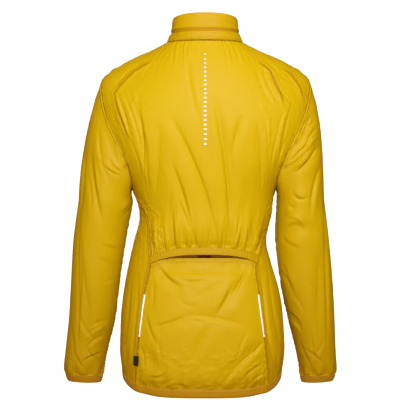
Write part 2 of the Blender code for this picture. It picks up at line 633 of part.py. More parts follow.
def make_zip_hardware(finish, collection, helpers):
    """A slider with an arch on its face, and a pull tab that hangs from its own top rim under it."""
    rail = collar_ring(np.full(80, 180.0), np.linspace(0, COLLAR_TOP_RING, 80))
    slider_z = float(rail[-1, 2]) - SLIDER_BELOW_TOP
    beside = np.abs(rail[:, 2] - slider_z) < SLIDER_HEIGHT / 2 + 0.002
    cloth_y = float(rail[beside, 1].min()) - FLOAT_GAP
    face_y = cloth_y - SLIDER_DEPTH
    slider = box(
        "zip_slider", (SLIDER_WIDTH, SLIDER_DEPTH, SLIDER_HEIGHT), (0, cloth_y - SLIDER_DEPTH / 2, slider_z),
        finish, collection, bevel=0.0008)
    reach = BRIDGE_OPEN + BRIDGE_THICK
    arch_size = (BRIDGE_WIDTH, reach + SLIDER_DEPTH / 2, BRIDGE_LENGTH)
    arch = box("arch", arch_size, (0, face_y - reach + arch_size[1] / 2, slider_z), finish, helpers)
    tunnel_size = (0.01, BRIDGE_OPEN, BRIDGE_LENGTH - 2 * BRIDGE_THICK)
    tunnel = box("tunnel", tunnel_size, (0, face_y - BRIDGE_OPEN / 2, slider_z), finish, helpers)
    combine(slider, arch, "UNION")
    combine(slider, tunnel, "DIFFERENCE")

    axis_y = face_y - BRIDGE_OPEN / 2
    pull = box(
        "zip_pull", (PULL_WIDTH, PULL_THICK, PULL_LENGTH), (0, axis_y, slider_z), finish, collection,
        bevel=0.00025, pivot=(0, 0, (PULL_THICK - PULL_LENGTH) / 2))
    eye_z = slider_z - PULL_THICK / 2 - WINDOW_LENGTH / 2
    eye = box("eye", (WINDOW_WIDTH, 0.01, WINDOW_LENGTH), (0, axis_y, eye_z), finish, helpers)
    combine(pull, eye, "DIFFERENCE")


def make_reflector(name, side, collection, finish):
    """A narrow strip on the tail panel, beside its seam, moved out from the panel's own points."""
    sign = 1 if side > 0 else -1
    tail = raised(tail_surface, tail_lift)

    def surface(across, along):
        z = REFLECTOR_FOOT_Z + (REFLECTOR_TOP_Z - REFLECTOR_FOOT_Z) * along
        top = torso_place(tail_edge_z(0.5 - 0.5 * sign))
        row = (torso_place(z) - PANEL_FOOT) / (top - PANEL_FOOT)
        chord = np.linalg.norm(tail(np.ones_like(row), row) - tail(np.zeros_like(row), row), axis=-1)
        width = chord * ARC_OVER_CHORD
        start, share = REFLECTOR_INSET / width, REFLECTOR_WIDTH / width
        column = start + share * across if sign > 0 else 1.0 - start - share * (1.0 - across)
        return tail(column, row)

    return cloth(
        name, moved_out(surface, FLOAT_GAP + REFLECTOR_THICK), 1, 10, finish, collection,
        wall=REFLECTOR_THICK)


def make_label(collection, finish):
    """A small plain woven label, sewn over the left seam just above the hem."""
    def surface(across, along):
        z = LABEL_Z + LABEL_HEIGHT * (along - 0.5)
        place = torso_place(z)
        seam = back_edge(place, 1)
        degree = np.linalg.norm(torso(seam + 1.0, place) - torso(seam, place), axis=-1)
        return torso(seam - (across - LABEL_SHARE_BEHIND) * LABEL_WIDTH / degree, place)

    return cloth(
        "label", moved_out(surface, 2 * FLOAT_GAP + LABEL_THICK), 3, 5, finish, collection,
        wall=LABEL_THICK)


def main():
    for existing in list(bpy.data.objects):
        bpy.data.objects.remove(existing, do_unlink=True)
    jacket = bpy.data.collections.new("windbreaker_jacket")
    helpers = bpy.data.collections.new("helpers")
    bpy.context.scene.collection.children.link(jacket)
    bpy.context.scene.collection.children.link(helpers)

    yellow = material("cloth_yellow", YELLOW, 0.5)
    binding = material("binding_yellow", YELLOW_BINDING, 0.55)
    zip_yellow = material("zip_yellow", YELLOW_BINDING, 0.4)
    silver = material("reflective", SILVER, 0.35)
    black = material("label_black", BLACK, 0.7)

    cloth("back_upper", raised(back_upper_surface, back_upper_lift), 44, sum(BACK_ROWS), yellow, jacket)
    band_out = moved_out(vent_band_surface, BAND_PROUD)
    cloth("vent_band", band_out, 26, 1, binding, jacket, wall=BAND)
    cloth("back_lower", raised(tail_surface, tail_lift), 26, TAIL_ROWS, yellow, jacket)
    for side, name in ((1, "left"), (-1, "right")):
        front = raised(front_surface(side), front_lift(side))
        cloth(f"front_{name}", front, 14, sum(FRONT_ROWS), yellow, jacket)
        sleeve = raised(sleeve_surface(side), sleeve_lift(side))
        for part, rows, (foot, top) in zip(("lower", "upper"), SLEEVE_ROWS, SLEEVE_ENDS):
            cloth(f"sleeve_{name}_{part}", stretch_of(sleeve, foot, top), SLEEVE_COLUMNS_ROUND, rows, yellow,
                  jacket, tube=True)
        cloth(f"cuff_{name}", moved_out(cuff_surface(side), BAND_PROUD), SLEEVE_COLUMNS_ROUND, 1, binding,
              jacket, wall=BAND, tube=True)
        make_reflector(f"reflector_{name}", side, jacket, silver)
    cloth("collar", raised(collar_surface, collar_lift), 32, 6, yellow, jacket)
    cloth("hem_band", moved_out(hem_surface, BAND_PROUD), 48, 1, binding, jacket, wall=BAND)
    cloth("zip_strip", zip_surface, 1, 30, zip_yellow, jacket)
    make_label(jacket, black)
    make_zip_hardware(zip_yellow, jacket, helpers)


main()
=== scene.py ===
"""The looks of a light yellow windbreaker: thin creased nylon, its bindings, seams and closed zip.

Units are metres, +Z up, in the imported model's own frame. The front faces -Y, and +X is the wearer's left.
Every cloth piece is a thin shell on the outer face of its solid, so the shapes of the solids are worked
out here again from the same tables, with finer creases, puckers and gathers on top.
"""
import math

import bmesh
import bpy
import numpy as np
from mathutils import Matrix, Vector


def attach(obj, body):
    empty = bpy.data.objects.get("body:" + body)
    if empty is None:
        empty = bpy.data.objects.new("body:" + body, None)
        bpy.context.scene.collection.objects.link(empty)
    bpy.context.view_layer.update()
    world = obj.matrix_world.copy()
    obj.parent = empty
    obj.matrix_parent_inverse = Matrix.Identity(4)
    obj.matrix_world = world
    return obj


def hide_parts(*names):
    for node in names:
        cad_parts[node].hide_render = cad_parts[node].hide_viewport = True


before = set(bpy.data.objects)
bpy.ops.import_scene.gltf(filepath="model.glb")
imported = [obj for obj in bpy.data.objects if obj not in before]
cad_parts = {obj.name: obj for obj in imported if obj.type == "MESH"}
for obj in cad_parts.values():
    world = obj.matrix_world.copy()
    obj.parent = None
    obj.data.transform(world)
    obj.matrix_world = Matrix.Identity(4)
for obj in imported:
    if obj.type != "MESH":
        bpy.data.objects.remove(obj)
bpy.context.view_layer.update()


def metres(*rows):
    """A table's rows of millimetres, as an array in metres."""
    return np.array(rows) / 1000


# ---- sizes shared with the solids ----------------------------------------------------------------
BAND = 0.0022
BAND_PROUD = 0.0004
SEAM_GAP = 0.0004
FLOAT_GAP = 0.0004

VENT_BAND_HEIGHT = 0.013
VENT_CENTRE_Z = -0.422
VENT_CORNER_Z = -0.44
TAIL_TOP_Z = -0.4345
TAIL_TUCK = 0.0062
TAIL_MORE = 0.0065  # the tail's top edge stands higher here, behind the casing, so the vent is a slit
COLLAR_SHOWN = 0.955
ZIP_WIDTH = 0.01
REFLECTOR_WIDTH = 0.0046
REFLECTOR_INSET = 0.0012
ARC_OVER_CHORD = 1.12
REFLECTOR_TOP_Z, REFLECTOR_FOOT_Z = -0.501, -0.582
LABEL_WIDTH, LABEL_HEIGHT, LABEL_THICK = 0.0125, 0.021, 0.0009
LABEL_Z = -0.632
LABEL_SHARE_BEHIND = 0.42

SIDES = ((1, "left"), (-1, "right"))
SIDE_NAMES = dict(SIDES)
BACK_ROWS = (9, 11, 5)
FRONT_ROWS = (7, 1, 9, 11, 5)
CAP_SHARE = 0.36
ROUNDNESS = 0.83
RIM_SLOPE = 1.25
TIP_RING, UNDERARM_RING = 3, 6
ARMHOLE_MIDDLE, ARMHOLE_REACH = (TIP_RING + UNDERARM_RING) / 2, (UNDERARM_RING - TIP_RING) / 2
ARMHOLE_BITE_BACK, ARMHOLE_BITE_FRONT = 33, 36
ARMHOLE_SKEW = 0.25
LEAVE_TOP, LEAVE_FOOT, ARRIVE = (0.36, 0, -0.93), (0.35, 0, -0.94), (0.05, -0.02, -1)

TORSO_COLUMNS = ("z_back", "z_side", "z_front", "half_left", "half_right", "y_back", "y_side", "y_front")
TORSO = metres(  # a row for each ring, from the neck seam down to the hem's edge
    (-4, -4, -52, 76.2, 76.2, 68, 12, -64),  # 0 neck seam
    (-48, -24, -95, 119, 119, 85, 10, -84),  # 1
    (-93, -44, -132, 162, 164, 97, 7, -100),  # 2
    (-138, -78, -168, 206, 208, 104, 3, -113),  # 3 shoulder tip
    (-185, -140, -205, 212, 212, 107, 0, -122),  # 4
    (-236, -212, -246, 188, 188, 106, 0, -127),  # 5
    (-290, -294, -292, 146, 142, 103, 0, -124),  # 6 underarm
    (-345, -345, -345, 131, 133, 97, 0, -112),  # 7
    (-396, -396, -396, 142, 122.5, 92, 0, -103),  # 8 waist
    (-440, -440, -440, 152, 132, 95, 0, -104),  # 9 vent
    (-500, -500, -496, 163, 149, 106, 0, -110),  # 10
    (-560, -560, -545, 168.5, 156.5, 114, 0, -114),  # 11 hip
    (-622, -612, -588, 169, 158, 114, 0, -112),  # 12
    (-687, -657, -624, 165, 153, 107, 0, -106),  # 13 top of the hem binding
    (-700, -670, -637, 162.5, 150.5, 104, 0, -103),  # 14 hem edge
)
HEM_TOP_RING, HEM_RING = 13, 14
PANEL_FOOT = HEM_TOP_RING - 0.026

SEAM_COLUMNS = ("left", "right")
SEAM = (  # a row for each ring, from the underarm down to the hem's edge, degrees from the centre back
    (90, 90),
    (60, 80),
    (46, 69),
    (41, 46.5),
    (43.8, 41.8),
    (45.8, 42.8),
    (49, 46.5),
    (53.5, 51.5),
    (54, 52),
)

COLLAR_COLUMNS = ("z_back", "z_side", "z_front", "half", "y_back", "y_side", "y_front")
COLLAR = metres(  # a row for each ring, from the neck seam up to the collar's edge
    (-3.6, -3.6, -51.5, 76.2, 68.2, 12, -64.2),
    (5, 4, -40, 73.5, 68, 12, -65.5),
    (16, 13, -26, 70.8, 67, 12, -66),
    (23, 19.5, -16, 68.2, 64.2, 12, -65),
    (30, 26, -8, 66.8, 62.5, 12, -64),
    (42, 35, 6, 66.2, 62.2, 12, -63.5),
    (54, 44, 20, 64, 60, 12, -62.5),
)
COLLAR_TOP_RING = len(COLLAR) - 1

SLEEVE_COLUMNS = (
    "z_outer", "z_inner", "outer_left", "inner_left", "outer_right", "inner_right", "y_middle", "half_depth")
SLEEVE = metres(  # a row for each section, from below the underarm to the cuff's edge
    (-316, -322, 252.5, 144, 238.5, 143, 0, 62),
    (-396, -396, 263.5, 158, 248, 141, -3, 58),
    (-480, -480, 269, 171, 256, 151, -10, 54),
    (-552, -552, 274, 180, 261, 166.5, -20, 51),
    (-612, -612, 281, 195, 264, 182, -30, 47),
    (-648, -650, 285, 203, 266, 190, -36, 43),
    (-668, -671, 282, 207, 264, 193, -38, 35),
    (-681, -684, 277, 211, 259, 196, -40, 32),
)
CUFF_TOP_SECTION, CUFF_EDGE_SECTION = 6, 7
EVEN_RINGS, EVEN_ANGLES = (0, 3, 4, 5, 6, 9, 9.2), (80, 66, 61, 56, 55, 50, 90)  # the back's inner columns
SLEEVE_FOOT = CUFF_TOP_SECTION - 0.035
ZIP_SHARE_BELOW_NECK = 0.88

FOLD_FADE, FOLD_FALL = 0.7, 0.8
FOLDS_SHOWN = 0.45  # the large folds are shallower here than in the solids, and the creases take over
# The large folds of the solids, in millimetres: x and z of both ends, then how far the middle bows
# aside, the width and the depth.
BACK_FOLDS = (
    (68, -151, -24, -393, 11, 15, 6.5), (-14, -113, -48, -397, 9, 15, 7.5),
    (66, -239, 22, -384, 2, 12, 4.5), (-72, -151, -50, -239, -3, 13, 4),
    (-101, -166, -109, -287, 3, 12, 4), (-72, -320, -53, -408, 0, 12, 4.5),
    (90, -171, 100, -300, 4, 13, 4), (133, -103, 119, -239, 3, 13, 4),
)
TAIL_FOLDS = (
    (100, -446, 44, -490, -4, 13, 5), (-87, -444, -19, -539, 4, 14, 6.5),
    (97, -563, -92, -563, 22, 18, 4.5), (-116, -592, -29, -669, -6, 15, 6),
    (131, -597, 88, -660, 6, 15, 5), (-19, -553, 29, -631, -4, 14, 3.5),
)
FRONT_FOLDS = (
    (105, -190, 70, -400, 10, 18, 6), (45, -330, 58, -560, -6, 18, 5), (30, -80, 52, -200, 6, 15, 4),
    (-100, -200, -65, -390, -9, 18, 6), (-50, -350, -66, -570, 6, 18, 5),
    (-34, -90, -60, -215, -6, 15, 4),
)
SLEEVE_BACK_FOLDS = (  # the left sleeve, then the right
    (226, -218, 201, -360, -4, 14, 6), (212, -130, 168, -270, 8, 14, 6.5),
    (240, -430, 236, -620, 2, 15, 5),
    (-222, -140, -146, -267, -6, 14, 6.5), (-228, -203, -168, -262, 4, 13, 6),
    (-150, -392, -222, -380, 14, 15, 5.5), (-226, -420, -226, -600, -2, 15, 4.5),
)
SLEEVE_FRONT_FOLDS = (  # the left sleeve, then the right
    (226, -160, 158, -270, 6, 14, 6), (256, -390, 172, -440, 8, 15, 6.5),
    (258, -455, 180, -490, -6, 15, 6),
    (-222, -160, -154, -270, -6, 14, 6), (-240, -395, -156, -445, -8, 15, 6.5),
    (-244, -460, -160, -495, 6, 15, 6),
)
VENT_GATHERS, VENT_GATHER_DEPTH, VENT_GATHER_REACH = 10, 0.0024, 0.055
HEM_WAVES_BACK, HEM_WAVES_FRONT, HEM_GATHER_DEPTH, HEM_GATHER_REACH = 9.6, 7.2, 0.0018, 0.035
HEM_TOP_BACK_Z, HEM_TOP_FRONT_Z = -0.687, -0.64
CUFF_GATHERS, CUFF_GATHER_DEPTH = 8, 0.002
WANDER = ((0.84, 2.3, 0.7), (0.53, 5.1, 0))
COLLAR_ROLLS = ((0.0012, 2, 0.94), (0.0006, 5, 0))
BLOUSE_DEPTH, BLOUSE_HEIGHT = 0.006, 0.035
TUCK_FOOT_Z, TUCK_RISE = -0.472, 0.028

# ---- sizes of the finer work ---------------------------------------------------------------------
SHELL = 0.00035  # wall of the shown cloth
# a flat-felled seam: how far its extra layers reach, how high they stand, and the groove at the seam
SEAM_LAP_WIDTH, SEAM_LAP_RISE, SEAM_GROOVE = 0.007, 0.00045, 0.0014
THREAD_RADIUS, STITCH_LENGTH, STITCH_PITCH = 0.00022, 0.0021, 0.0029
STITCH_SIDES, STITCH_SHOULDER, STITCH_LIFT = 5, 0.28, 0.6 * THREAD_RADIUS
STITCH_ROWS_IN = (0.0014, 0.0062)  # how far from a seam its two rows of stitches run
SEWN = (  # a piece, its middle width, which of its sides are sewn, and how many rows each has
    ("back", 0.288, (0, 1), 2), ("tail", 0.2295, (0, 1), 1), ("front_left", 0.35, (0,), 2),
    ("front_right", 0.35, (1,), 2))
ROW_ENDS = (0.004, 0.996)  # a row of stitches stops just inside its piece
BAND_STITCH_ROWS, COLLAR_STITCH_ROWS = (0.14, 0.86), (0.03, 0.42, 0.47, 0.955)  # shares of the height
BAND_OVERLAP, BAND_OVERLAP_RINGS = 0.0012, 0.09  # how far a binding reaches over the cloth beside it
BAND_LIFT, BAND_MESH_ROWS = BAND_PROUD + 0.0002, 12
COLLAR_WALL, TAPE_WALL, THIN_WALL, DASH_WALL = 0.0009, 0.0006, 0.0004, 0.0002
ALLOWANCE_WIDTH, ALLOWANCE_DROP = 0.011, 0.0021  # seam allowances behind the seams, inside the jacket
# The armhole allowance's inner edge: share of the bite, degrees, rings and share of the sleeve's cap.
INNER_BITE, INNER_SHIFT, INNER_RINGS, INNER_CAP = 0.94, 3.2, 0.1, 0.035
# The neck allowance: degrees each way from the centre back, rings down the torso and up the collar.
NECK_HALF_TURN, NECK_DOWN, NECK_UP = 172, 0.12, 0.6
SIDE_STRIP, SHOULDER_STRIP, ARMHOLE_STRIP, NECK_STRIP = 0.36, 0.15, 0.5, 0.4  # the allowances' lengths
WING_HALF, WING_DROP, WING_ENDS_IN = 0.012, 0.002, 0.006  # the zip tapes' edges, sewn inside the fronts
TOOTH_PITCH, TOOTH_STAGGER, TOOTH_RISE = 0.0014, 0.00055, 0.0003
TOOTH_HALVES = (0.0019, 0.00045, 0.00062)  # across the zip, out of it, and along it
DASHES, DASH_TOP, DASH_PITCH, DASH_LIFT = 21, 0.036, 0.0098, 0.001
DASH_WIDTH, DASH_LENGTH = 0.0022, 0.004
REFLECTOR_LIFT, LABEL_SWELL = FLOAT_GAP + 0.0003, 0.0004
HEM_ROLL_DEPTH, HEM_ROLL_REACH, HEM_ROLL_SIDE = 0.005, 0.034, 0.03  # the tail turns in towards the hem
CHANNEL_FOOT, CHANNEL_TOP, CHANNEL_SINK = 0.31, 0.52, 0.002  # the drawn-in channel round the collar

# Sizes of the flat pieces, across and along, as cut.
BACK_CUT, TAIL_CUT, FRONT_CUT = (0.4, 0.43), (0.27, 0.255), (0.35, 0.64)
SLEEVE_CUT, COLLAR_CUT = (0.33, 0.61), (0.43, 0.062)
VENT_CUT, HEM_CUT, CUFF_CUT = (0.215, 0.0155), (0.93, 0.0145), (0.225, 0.015)
TAPE_CUT, WING_CUT, FILM_CUT = (ZIP_WIDTH, 0.76), (2 * WING_HALF, 0.75), (0.004, 0.081)

SHOULDER_SEAMS = (  # behind the shoulders, from beside the collar round inside the armholes
    metres((103, -41), (140, -64), (167, -91), (178, -107), (173, -134), (159, -171), (146, -206)),
    metres((-100, -39), (-114, -51), (-129, -64), (-137, -84), (-145, -103), (-151, -119), (-155, -136)),
    metres((-150, -52), (-170, -68), (-186, -90), (-197, -124)),
)
SHOULDER_SEAM_END = 0.022  # each fades out over this length
SHADED_TUCKS = metres((157, -250), (-157, -250), (-178, -202))  # spots of painted shade where the cloth tucks in along the armholes, seen from behind
TUCK_REACH = 0.005

CREASE_FADE, CREASE_SHOWN = 1.1, 0.85
RIDGE_RATE, VALLEY_HALF = 1.15, 0.5  # a crease's ridge peaks 1/1.15 of its width from the valley
RIDGE_LEVEL = 0.55  # of the depth, before its lean is added
# Finer creases, in the columns of the large folds and with a lean: the ridge beside the valley lies on
# the side that its sign gives, and is higher with more lean.
BACK_CREASES = (
    # the long folds' own sharp valleys
    (68, -151, -24, -396, 11, 6, 3, 0.5), (-14, -113, -48, -399, 9, 6.5, 3.4, -0.4),
    (34, -40, 10, -170, -4, 8, 1.6, 0.3), (66, -239, 22, -390, 4, 5.5, 2.4, 0.5),
    (58, -306, 22, -398, 4, 5, 2, 0.3), (-72, -151, -50, -245, -3, 6.5, 1.7, -0.5),
    (-101, -160, -110, -300, 3, 5, 2, 0.6), (-70, -340, -53, -408, 0, 5.5, 2, 0.3),
    (90, -171, 100, -311, 4, 5.5, 2, -0.5), (133, -103, 119, -260, 4, 5, 1.8, 0.4),
    (112, -229, 107, -297, -2, 4.5, 1.4, 0.3), (5, -100, -10, -230, 4, 9, 1.4, 0.2),
    (-40, -200, -62, -330, 3, 8, 1.3, -0.3),
    # round the shoulders, inside the armholes
    (106, -45, 176, -96, -10, 5.5, 2, 0.6), (178, -100, 146, -206, 6, 5, 2, -0.6),
    (100, -38, 160, -70, -4, 4.5, 1.2, 0.3), (165, -98, 121, -243, 7, 4.5, 1.7, -0.4),
    (155, -88, 112, -263, 9, 5, 1.4, 0.4), (136, -122, 107, -268, 5, 4.2, 1.2, 0.3),
    (126, -150, 118, -300, 3, 4.2, 1, -0.3), (148, -190, 117, -290, 3, 4, 1.2, 0.5),
    (-112, -43, -155, -140, -10, 5.5, 2.2, 0.6), (-125, -45, -178, -135, -12, 5, 1.6, -0.4),
    (-100, -50, -141, -142, -8, 6, 1.2, 0.4), (-155, -140, -136, -225, -4, 4.5, 1.6, 0.5),
    (-172, -120, -146, -232, -4, 5, 1.5, -0.4), (-116, -150, -124, -262, 2, 4.2, 1.3, 0.3),
    (-130, -152, -128, -242, -2, 4.2, 1.2, -0.3), (-140, -190, -126, -270, -2, 4.2, 1.4, 0.5),
    (-160, -190, -139, -258, -2, 4.2, 1.4, 0.3),
    # short wrinkles that hang from the neck seam
    (60, -9, 64, -54, 1, 3.4, 1.1, 0.2), (52, -9, 54, -44, 1, 3, 0.9, -0.2),
    (44, -9, 47, -62, 2, 3.4, 1, 0.2), (35, -8, 36, -48, -1, 3, 0.7, 0.3),
    (22, -8, 20, -40, 1, 3.4, 0.6, 0.2), (-38, -9, -44, -56, 1, 3.2, 0.9, 0.2),
    (-47, -10, -55, -50, -1, 3, 1, -0.3), (-56, -10, -68, -55, 2, 3.4, 1.1, 0.2),
    (-64, -10, -80, -50, 1, 3, 1, -0.2), (-20, -8, -22, -46, 1, 3.4, 0.6, 0.2),
)
VENT_CREASES = (  # short ones that the casing's elastic draws in, just above it
    (92, -365, 89, -421, 0, 4, 1.4, 0.3), (81, -352, 78, -419, 1, 4.2, 1.6, -0.3),
    (64, -334, 58, -416, 1, 4.5, 2, 0.4), (49, -352, 45, -414, -1, 4, 1.8, -0.4),
    (33, -356, 37, -412, 1, 4.4, 2.1, 0.3), (21, -372, 19, -411, 0, 4, 1.8, 0.2),
    (6, -360, 4, -410, 1, 4.2, 1.7, -0.3), (-10, -368, -6, -410, 0, 4.6, 2.1, 0.4),
    (-33, -366, -31, -411, 1, 4.2, 1.9, -0.3), (-56, -352, -50, -413, -1, 4.4, 2, 0.3),
    (-68, -362, -64, -415, 0, 4, 1.6, -0.3), (-80, -356, -79, -417, 1, 4.2, 1.6, 0.3),
    (-92, -360, -91, -420, 0, 4, 1.3, 0.2),
)
TAIL_CREASES = (
    (94, -441, 45, -484, -5, 6, 2.6, 0.5), (80, -446, 52, -462, -2, 5, 1.4, -0.3),
    (70, -450, -38, -447, -6, 7, 1.6, 0.2), (62, -463, -12, -466, -9, 8.5, 1.8, 0.3),
    (-87, -441, -50, -502, 2, 5.5, 3, 0.6), (-52, -480, -19, -540, 2, 6, 2.8, -0.5),
    (-74, -452, -44, -468, -3, 6, 1.4, 0.3), (27, -512, -40, -475, 4, 8.5, 1.6, -0.4),
    (52, -505, 10, -520, -6, 7, 1, 0.3), (102, -560, 36, -538, -3, 7, 1.8, 0.4),
    (40, -538, -80, -561, 6, 8, 1.9, -0.4), (30, -548, -4, -556, 4, 6, 1.2, 0.3),
    (-9, -554, 22, -634, -3, 7.5, 1.8, 0.5), (115, -531, 89, -600, -5, 6, 1.8, 0.4),
    (92, -585, 87, -632, 2, 6, 1.4, -0.3), (-83, -567, -58, -634, -3, 6, 1.5, 0.4),
    (-113, -600, -50, -655, -6, 5.5, 2.8, 0.6), (-60, -645, -28, -682, -3, 5.5, 2.4, 0.5),
    (-111, -633, -66, -668, -4, 5, 2.4, -0.5), (-117, -588, -92, -622, -3, 4.5, 1.8, 0.4),
    (-121, -650, -84, -676, -3, 4.5, 1.8, 0.4), (-100, -620, -80, -640, 2, 4.5, 1.2, -0.3),
    (109, -660, 72, -650, -3, 5, 2, 0.5), (88, -681, 58, -661, 3, 5, 2, -0.4),
    (127, -596, 118, -642, 3, 4.2, 1.6, 0.3), (64, -672, 30, -682, 3, 5, 1.6, 0.3),
    (10, -684, -20, -676, 3, 5, 1.4, -0.3), (100, -470, 104, -530, 2, 6, 1, 0.3),
    (-100, -470, -104, -530, 2, 6, 1, 0.3),
)
FRONT_CREASES = (
    (150, -175, 82, -300, 10, 7, 2.8, 0.5), (120, -150, 60, -330, 12, 8, 2.2, -0.4),
    (100, -220, 66, -410, 6, 6, 2.4, 0.4), (20, -75, 34, -180, 4, 5.5, 1.8, 0.4),
    (46, -70, 66, -170, 5, 5.5, 1.4, -0.3), (14, -130, 20, -260, -3, 6, 1.6, 0.3),
    (18, -300, 12, -420, 3, 6, 1.6, -0.3), (46, -340, 56, -500, -6, 6, 2, 0.4),
    (14, -450, 30, -590, -3, 6, 1.5, 0.3), (120, -420, 80, -520, 5, 6.5, 1.8, 0.4),
    (130, -520, 70, -610, 8, 6.5, 1.8, -0.4), (40, -560, 46, -632, 2, 5, 1.6, 0.3),
    (-144, -180, -76, -310, -11, 7, 2.8, 0.5), (-112, -140, -64, -300, -10, 8, 2.1, -0.4),
    (-92, -230, -60, -400, -6, 6, 2.3, 0.4), (-22, -80, -40, -200, -5, 5.5, 1.7, 0.4),
    (-44, -66, -60, -150, -4, 5.5, 1.4, -0.3), (-16, -160, -18, -300, 3, 6, 1.5, 0.3),
    (-20, -330, -12, -440, -3, 6, 1.6, -0.3), (-52, -360, -62, -520, 6, 6, 1.9, 0.4),
    (-16, -470, -34, -600, 4, 6, 1.5, 0.3), (-112, -430, -74, -530, -5, 6.5, 1.8, 0.4),
    (-124, -530, -70, -600, -6, 6.5, 1.6, -0.4),
)
SIDE_CREASES = (  # on the part of each front that wraps round behind the side
    (129, -455, 147, -640, 4, 6, 2, 0.4), (120, -470, 134, -600, 3, 5, 1.4, -0.4),
    (145, -470, 158, -600, 2, 5.5, 1.6, 0.3), (122, -560, 136, -655, 2, 4.8, 1.6, 0.4),
    (140, -610, 150, -655, 1, 4.5, 1.2, 0.4), (-111, -455, -136, -645, -5, 6, 2.2, 0.4),
    (-104, -480, -124, -590, -3, 5, 1.6, -0.4), (-124, -450, -146, -600, -3, 5.5, 1.7, 0.3),
    (-118, -570, -130, -655, -2, 4.8, 1.6, 0.4), (-138, -610, -144, -655, -1, 4.5, 1.2, 0.4),
)
SLEEVE_BACK_CREASES = (
    # left
    (223, -220, 199, -364, -5, 6.2, 2.8, 0.6), (208, -165, 196, -262, -5, 5, 2, -0.5),
    (207, -184, 190, -180, 2, 4, 1.2, 0.3), (197, -248, 163, -269, -4, 4.5, 2, 0.5),
    (171, -343, 147, -321, -3, 5.5, 2, 0.5), (238, -200, 249, -360, 4, 5.5, 2, -0.4),
    (232, -260, 222, -350, 3, 5, 1.4, 0.3), (243, -360, 256, -610, 4, 6, 2, 0.4),
    (186, -330, 160, -375, -3, 6, 1.4, -0.3), (205, -400, 166, -412, -4, 6.5, 1.8, 0.4),
    (214, -430, 176, -452, 4, 6, 1.2, 0.3), (238, -420, 228, -540, -4, 6, 1.4, 0.3),
    (191, -556, 231, -571, -4, 6, 1.8, 0.4), (250, -540, 214, -600, -6, 5.5, 1.8, -0.4),
    (200, -585, 236, -612, -4, 5.5, 2, 0.4), (268, -560, 262, -640, 3, 5, 1.6, 0.4),
    (240, -600, 212, -640, -3, 4.8, 1.6, 0.3), (262, -610, 240, -655, -3, 4.5, 1.8, 0.3),
    (216, -230, 182, -300, 6, 7.5, 1.2, 0.2), (246, -300, 250, -640, -2, 4.5, 1.6, 0.5),
    (213, -240, 206, -300, 2, 4, 1.4, -0.4), (186, -235, 160, -262, -5, 4.2, 2.2, 0.5),
    (170, -352, 140, -322, -2, 4.2, 2, 0.5), (176, -470, 206, -478, 3, 4.5, 1, 0.3),
    (196, -560, 240, -590, -3, 4.2, 1.8, 0.5), (204, -620, 246, -640, -3, 4.2, 2, -0.5),
    # right
    (-221, -210, -177, -262, 4, 5.2, 4.2, -0.6), (-203, -217, -152, -258, 4, 4.8, 3.6, 0.5),
    (-215, -162, -190, -197, -3, 4.2, 3, 0.5), (-208, -150, -186, -186, -3, 3.6, 2.1, -0.4),
    (-222, -172, -196, -208, -2, 4, 2.4, 0.4), (-156, -378, -196, -376, 13, 5.5, 2.2, 0.5),
    (-164, -324, -178, -331, -4, 6, 2.7, -0.4), (-171, -300, -200, -312, -8, 6.5, 2.7, 0.4),
    (-228, -245, -206, -356, -5, 6, 3.3, 0.4), (-236, -290, -244, -440, -3, 6, 2.7, -0.4),
    (-150, -388, -190, -412, -4, 5.5, 1.8, 0.4), (-147, -453, -177, -512, 5, 6, 1.6, 0.5),
    (-162, -536, -192, -568, 3, 5, 1.8, 0.5), (-170, -500, -196, -540, 3, 5.5, 1.1, -0.3),
    (-226, -420, -228, -600, -3, 6, 1.6, 0.3), (-240, -450, -250, -620, -3, 5.5, 1.4, -0.3),
    (-210, -560, -222, -648, -2, 5, 1.4, 0.4), (-238, -590, -206, -640, 4, 4.8, 1.3, 0.4),
    (-188, -590, -214, -650, -3, 4.5, 1.4, 0.3), (-196, -470, -214, -500, 4, 7, 1, 0.3),
    (-232, -300, -243, -640, 2, 4.5, 2.4, 0.5), (-159, -352, -194, -374, 8, 4.2, 2.2, 0.5),
    (-168, -340, -202, -372, 6, 4.2, 1.4, -0.4), (-210, -150, -194, -190, -2, 3.6, 2.7, 0.5),
    (-220, -186, -190, -222, -3, 3.8, 3, 0.5), (-202, -206, -168, -240, -2, 3.6, 2.7, -0.5),
    (-152, -440, -168, -490, 3, 4.2, 1.4, 0.4), (-168, -548, -196, -582, 2, 4.2, 1.6, -0.4),
    (-196, -610, -236, -642, 2, 4.2, 1.6, 0.5),
)
SLEEVE_FRONT_CREASES = (
    # left
    (226, -170, 156, -275, 6, 5.5, 2.6, 0.5), (236, -210, 160, -300, 8, 6, 2, -0.4),
    (214, -150, 176, -220, 4, 5, 1.6, 0.4), (256, -388, 174, -436, 9, 6, 3, 0.6),
    (254, -420, 176, -462, 2, 5.5, 2.4, -0.5), (250, -450, 182, -488, -7, 6, 2.6, 0.5),
    (240, -360, 180, -392, 6, 6, 1.8, 0.3), (230, -500, 200, -580, 5, 6.5, 1.6, 0.3),
    (262, -500, 262, -620, -3, 6, 1.6, 0.3), (240, -590, 230, -655, 3, 4.8, 1.8, 0.3),
    (212, -570, 236, -640, -3, 5, 1.6, -0.3),
    # right
    (-222, -165, -152, -272, -6, 5.5, 2.6, 0.5), (-230, -220, -156, -305, -8, 6, 2, -0.4),
    (-210, -150, -170, -225, -4, 5, 1.5, 0.4), (-240, -393, -158, -442, -9, 6, 3, 0.6),
    (-238, -430, -160, -468, -2, 5.5, 2.2, -0.5), (-236, -455, -166, -492, 7, 6, 2.6, 0.5),
    (-226, -352, -164, -388, -6, 6, 1.7, 0.3), (-216, -505, -188, -585, -5, 6.5, 1.6, 0.3),
    (-248, -490, -246, -610, 3, 6, 1.6, 0.3), (-226, -590, -218, -655, -3, 4.8, 1.8, 0.3),
    (-200, -575, -222, -640, 3, 5, 1.6, -0.3),
)
